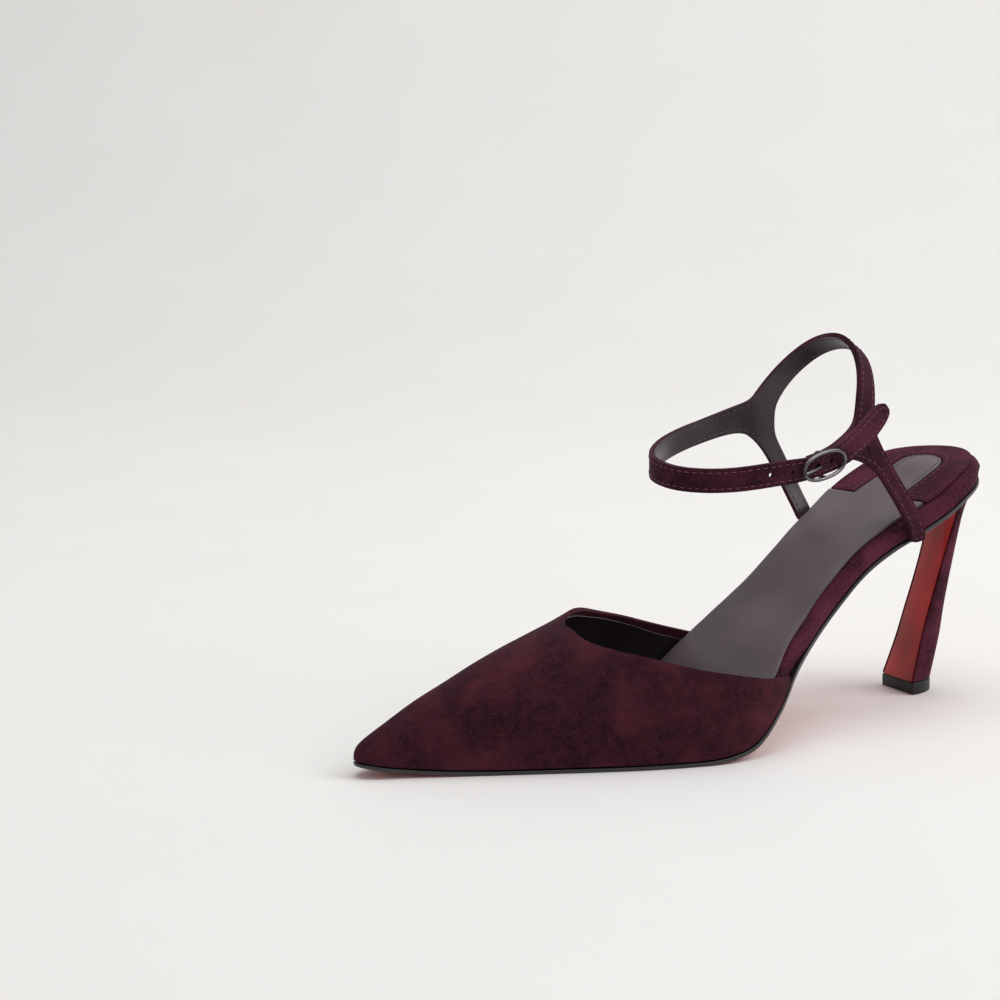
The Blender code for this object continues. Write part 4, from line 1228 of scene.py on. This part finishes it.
def edge_paths(sheet, inset):
    """Chains of places that follow the sheet's edges a little inside."""
    sheet.normal_update()
    # A dict keeps the order of the edges, so the seams start at the same places each run
    loose = dict.fromkeys(e for e in sheet.edges if e.is_boundary)
    chains = []
    while loose:
        first, _ = loose.popitem()
        start, v = first.verts
        chain = [start]
        while v is not start:
            chain.append(v)
            step = next((e for e in v.link_edges if e in loose), None)
            if step is None:
                break
            loose.pop(step)
            v = step.other_vert(v)
        points = []
        for i, v in enumerate(chain):
            along = (chain[(i + 1) % len(chain)].co - chain[i - 1].co).normalized()
            inward = v.normal.cross(along).normalized()
            middle = sum((f.calc_center_median() for f in v.link_faces), Vector()) / len(v.link_faces)
            if inward.dot(middle - v.co) < 0:
                inward = -inward
            points.append(v.co + inward * inset)
        chains.append(points + points[:1])
    return chains


def dress_strap():
    """Strap of suede over lining leather, sewn along both edges, with punched holes."""
    sheet = strap_sheet()
    outside, inside = [], []
    places = BVHTree.FromBMesh(sheet)
    rise = STRAP_THICK / 2 + STITCH_RADIUS * 0.3
    for chain in edge_paths(sheet, STITCH_INSET):
        for place, along in evenly(chain, STITCH_PITCH):
            hit, normal, _, _ = places.find_nearest(place)
            outside.append((hit + normal * rise, along, normal))
            inside.append((hit - normal * rise, along, -normal))
    bm = drilled(shape_of(sheet, (walled(STRAP_THICK, 0, material_offset=1),), 2))
    bm = shape_of(bm, (rounded(STRAP_BEVEL, 2),), 2)
    # The lining side's lighter colour is painted sheen
    piece("suede_strap", bm, [strap_suede, strap_lining_painted_sheen], ["ankle_strap"], 50)
    seams = (("strap_stitches", outside, suede_thread), ("lining_stitches", inside, lining_thread))
    for name, marks, thread in seams:
        bm = bmesh.new()
        sew(bm, marks)
        piece(name, bm, [thread], (), 60)


def drilled(bm):
    """Cuts the punched holes, the prong's hole and its slot through the strap."""
    cuts = [(share, PUNCH_HOLE, 0.0) for share in PUNCH_PLACES]
    cuts.append((BUCKLE_PLACE, PRONG_HOLE, prong_root() + GAP))
    cutters = []
    for share, radius, forward in cuts:
        place, ahead, across, off = strap_place_at(share)
        cutter = bmesh.new()
        depth = STRAP_THICK + 4 * GAP
        bmesh.ops.create_cone(
            cutter, cap_ends=True, segments=24, radius1=radius, radius2=radius, depth=depth
        )
        stand = turned(place + ahead * forward, ahead, across, off)
        bmesh.ops.transform(cutter, matrix=stand, verts=cutter.verts)
        cutters.append(cutter)
    reach = prong_root() + PRONG_WIRE / 2 + GAP
    low, high = -bar_depth() - SLOT_DEPTH, -STRAP_THICK / 2 - GAP / 3
    back, front = -reach, reach + SLOT_DEPTH
    _, ahead, across, off = strap_place_at(BUCKLE_PLACE)
    middle = buckle_place((back + front) / 2, 0.0, (low + high) / 2)
    size = Matrix.Diagonal((front - back, PRONG_WIRE + 4 * GAP, high - low, 1.0))
    slot_cutter = bmesh.new()
    bmesh.ops.create_cube(slot_cutter, size=1.0, matrix=turned(middle, ahead, across, off) @ size)
    cutters.append(slot_cutter)
    helpers = []
    for cutter in cutters:
        bmesh.ops.recalc_face_normals(cutter, faces=cutter.faces)
        mesh = bpy.data.meshes.new("cutter")
        cutter.to_mesh(mesh)
        cutter.free()
        helper = bpy.data.objects.new("cutter", mesh)
        bpy.context.scene.collection.objects.link(helper)
        helpers.append(helper)
    cut = {"operation": "DIFFERENCE", "solver": "EXACT", "use_self": True}
    cuts = [("BOOLEAN", {**cut, "object": helper}) for helper in helpers]
    result = shape_of(bm, cuts, 2)
    for helper in helpers:
        mesh = helper.data
        bpy.data.objects.remove(helper, do_unlink=True)
        bpy.data.meshes.remove(mesh)
    bmesh.ops.remove_doubles(result, verts=result.verts, dist=MERGE_REACH)
    return result


def wire_piece(name, places, radius, closed, nodes=()):
    """Round wire along a chain of places."""
    curve = bpy.data.curves.new(name, "CURVE")
    curve.dimensions = "3D"
    curve.bevel_depth = radius
    curve.bevel_resolution = 5
    curve.use_fill_caps = not closed
    spline = curve.splines.new("POLY")
    spline.points.add(len(places) - 1)
    for point, place in zip(spline.points, places):
        point.co = (*(PLACE @ place), 1.0)
    spline.use_cyclic_u = closed
    spline.use_smooth = True
    curve.materials.append(plated)
    thing = bpy.data.objects.new(name, curve)
    bpy.context.scene.collection.objects.link(thing)
    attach(thing, "root")
    if nodes:
        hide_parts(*nodes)
    return thing


def smooth_route(points, count):
    """Rounded chain through a few (along, out) points."""
    turns = [(i, along, out) for i, (along, out) in enumerate(points)]
    return [(track(turns, 1, t), track(turns, 2, t)) for t in spread(0, len(points) - 1, count)]


def dress_buckle():
    """Oval ring of round wire with a bar under the strap, and a prong through its hole."""
    length = (BUCKLE_LENGTH - BUCKLE_WIRE) / 2
    height = (BUCKLE_HEIGHT - BUCKLE_WIRE) / 2
    out = bar_depth() + GAP / 2
    ring = []
    for i in range(96):
        angle = 2 * math.pi * i / 96
        along = math.copysign(abs(math.cos(angle)) ** 0.88, math.cos(angle)) * length
        up = math.copysign(abs(math.sin(angle)) ** 0.88, math.sin(angle)) * height
        ring.append(buckle_place(along, up, out))
    wire_piece("buckle_ring", ring, BUCKLE_WIRE / 2, True, ["buckle_frame"])
    inner, bend = -bar_depth(), BUCKLE_WIRE
    side = [(height, out), (height, inner + bend)]
    for a in spread(0.2, math.pi / 2, 7):
        side.append((height - bend * (1 - math.cos(a)), inner + bend * (1 - math.sin(a))))
    turns = side + [(-up, depth) for up, depth in reversed(side)]
    places = [buckle_place(0.0, up, depth) for up, depth in turns]
    wire_piece("buckle_bar", places, BUCKLE_WIRE / 2, False)
    bend = prong_root()
    over_strap = STRAP_THICK / 2 + GAP + PRONG_WIRE / 2
    over_ring = bar_depth() + GAP / 2 + BUCKLE_WIRE / 2 + GAP + PRONG_WIRE / 2
    hook = [(-bend * math.cos(a), inner - bend * math.sin(a)) for a in spread(0, math.pi, 12)]
    route = [(bend + GAP, 0.0), (bend + GAP, over_strap - GAP), (bend + 4 * GAP, over_strap + GAP)]
    route += [(length * 0.62, (over_strap + over_ring) / 2 + GAP)]
    route += [(length, over_ring), (length + PRONG_WIRE, over_ring)]
    chain = hook + smooth_route([hook[-1]] + route, 40)[1:]
    places = [buckle_place(along, 0.0, off) for along, off in chain]
    wire_piece("prong_pin", places, PRONG_WIRE / 2, False, ["buckle_prong"])


# Studio

def photo_camera():
    """Camera at the photo's place: 12.7 degrees up, 32.1 degrees round from the buckle side."""
    tilt, turn, distance = 0.221855, CAMERA_TURN, 0.785327
    focal, aim_x, aim_y = 2.26127, 0.184378, 0.112861
    target = PLACE @ Vector((0.125, 0.0, 0.040))
    back = Vector((-math.sin(turn) * math.cos(tilt), -math.cos(turn) * math.cos(tilt), math.sin(tilt)))
    right = Vector((math.cos(turn), -math.sin(turn), 0.0))
    up = back.cross(right)
    pan, nod = math.atan2(aim_x, focal), math.atan2(aim_y, focal)
    view = Matrix((right, -up, -back))
    view = Matrix.Rotation(pan, 3, "Y") @ view
    view = Matrix.Rotation(-nod, 3, "X") @ view
    axes = Matrix((view[0], -view[1], -view[2])).transposed().to_4x4()
    lens = bpy.data.cameras.new("photo_camera")
    lens.sensor_width = 36.0
    lens.lens = 36.0 * focal
    lens.clip_end = 50.0
    camera = bpy.data.objects.new("photo_camera", lens)
    camera.matrix_world = Matrix.Translation(target + back * distance) @ axes
    bpy.context.scene.collection.objects.link(camera)
    bpy.context.scene.camera = camera


def soft_light(name, place, aim, size, power):
    """Large square lamp at a place, turned to a point."""
    lamp = bpy.data.lights.new(name, "AREA")
    lamp.shape = "RECTANGLE"
    lamp.size, lamp.size_y = size, size
    lamp.energy = power
    thing = bpy.data.objects.new(name, lamp)
    thing.location = place
    thing.rotation_euler = (Vector(aim) - Vector(place)).to_track_quat("-Z", "Y").to_euler()
    bpy.context.scene.collection.objects.link(thing)


def studio():
    """Pale sweep of paper under soft light from above, from the right and a little from the toe."""
    material, tree, shader, place = finish("pale_paper", Roughness=0.7)
    pulp = node(
        tree, "ShaderNodeTexNoise", {"Scale": 1 / 0.12, "Detail": 2.0}, {"Vector": (place, "Object")}
    )
    mixed = node(
        tree, "ShaderNodeMix", {"data_type": "RGBA", 6: linear("#f1efed"), 7: linear("#f5f4f2")},
        {0: (pulp, 0)}
    )
    tree.links.new(mixed.outputs[2], shader.inputs["Base Color"])
    profile = [(-4.0, 0.0), (0.9, 0.0)]
    profile += [(0.9 + 0.6 * math.sin(a), 0.6 * (1 - math.cos(a))) for a in spread(0.1, math.pi / 2, 14)]
    profile += [(1.5, 3.0)]
    turn = Matrix.Rotation(-CAMERA_TURN, 3, "Z")
    rows = [[turn @ Vector((x, y, z)) for y, z in profile] for x in (-4.0, 4.0)]
    bm = sheet_grid(rows)
    bmesh.ops.recalc_face_normals(bm, faces=bm.faces)
    if sum(f.normal.z * f.calc_area() for f in bm.faces) < 0:
        bmesh.ops.reverse_faces(bm, faces=bm.faces)
    mesh = bpy.data.meshes.new("studio_paper")
    bm.to_mesh(mesh)
    bm.free()
    mesh.materials.append(material)
    mesh.shade_smooth()
    paper = bpy.data.objects.new("studio_paper", mesh)
    bpy.context.scene.collection.objects.link(paper)
    world = bpy.data.worlds.new("studio_air")
    world.use_nodes = True
    air = world.node_tree.nodes["Background"]
    air.inputs["Color"].default_value = linear("#fbfafa")
    air.inputs["Strength"].default_value = 0.38
    bpy.context.scene.world = world
    soft_light("window", (1.15, -0.75, 1.25), (0.0, 0.0, 0.05), 1.2, 15.0)
    soft_light("ceiling", (0.1, 0.2, 1.9), (0.0, 0.0, 0.0), 1.8, 15.5)
    soft_light("fill", (-1.4, -0.8, 0.7), (0.05, 0.0, 0.06), 1.0, 1.2)
    bpy.context.scene.view_settings.view_transform = "Standard"
    bpy.context.scene.view_settings.look = "None"


photo_camera()
studio()
dress_outsole()
dress_footbed()
dress_sock()
dress_heel_pad()
dress_vamp()
dress_heel()
dress_strap()
dress_buckle()

bpy.context.view_layer.update()
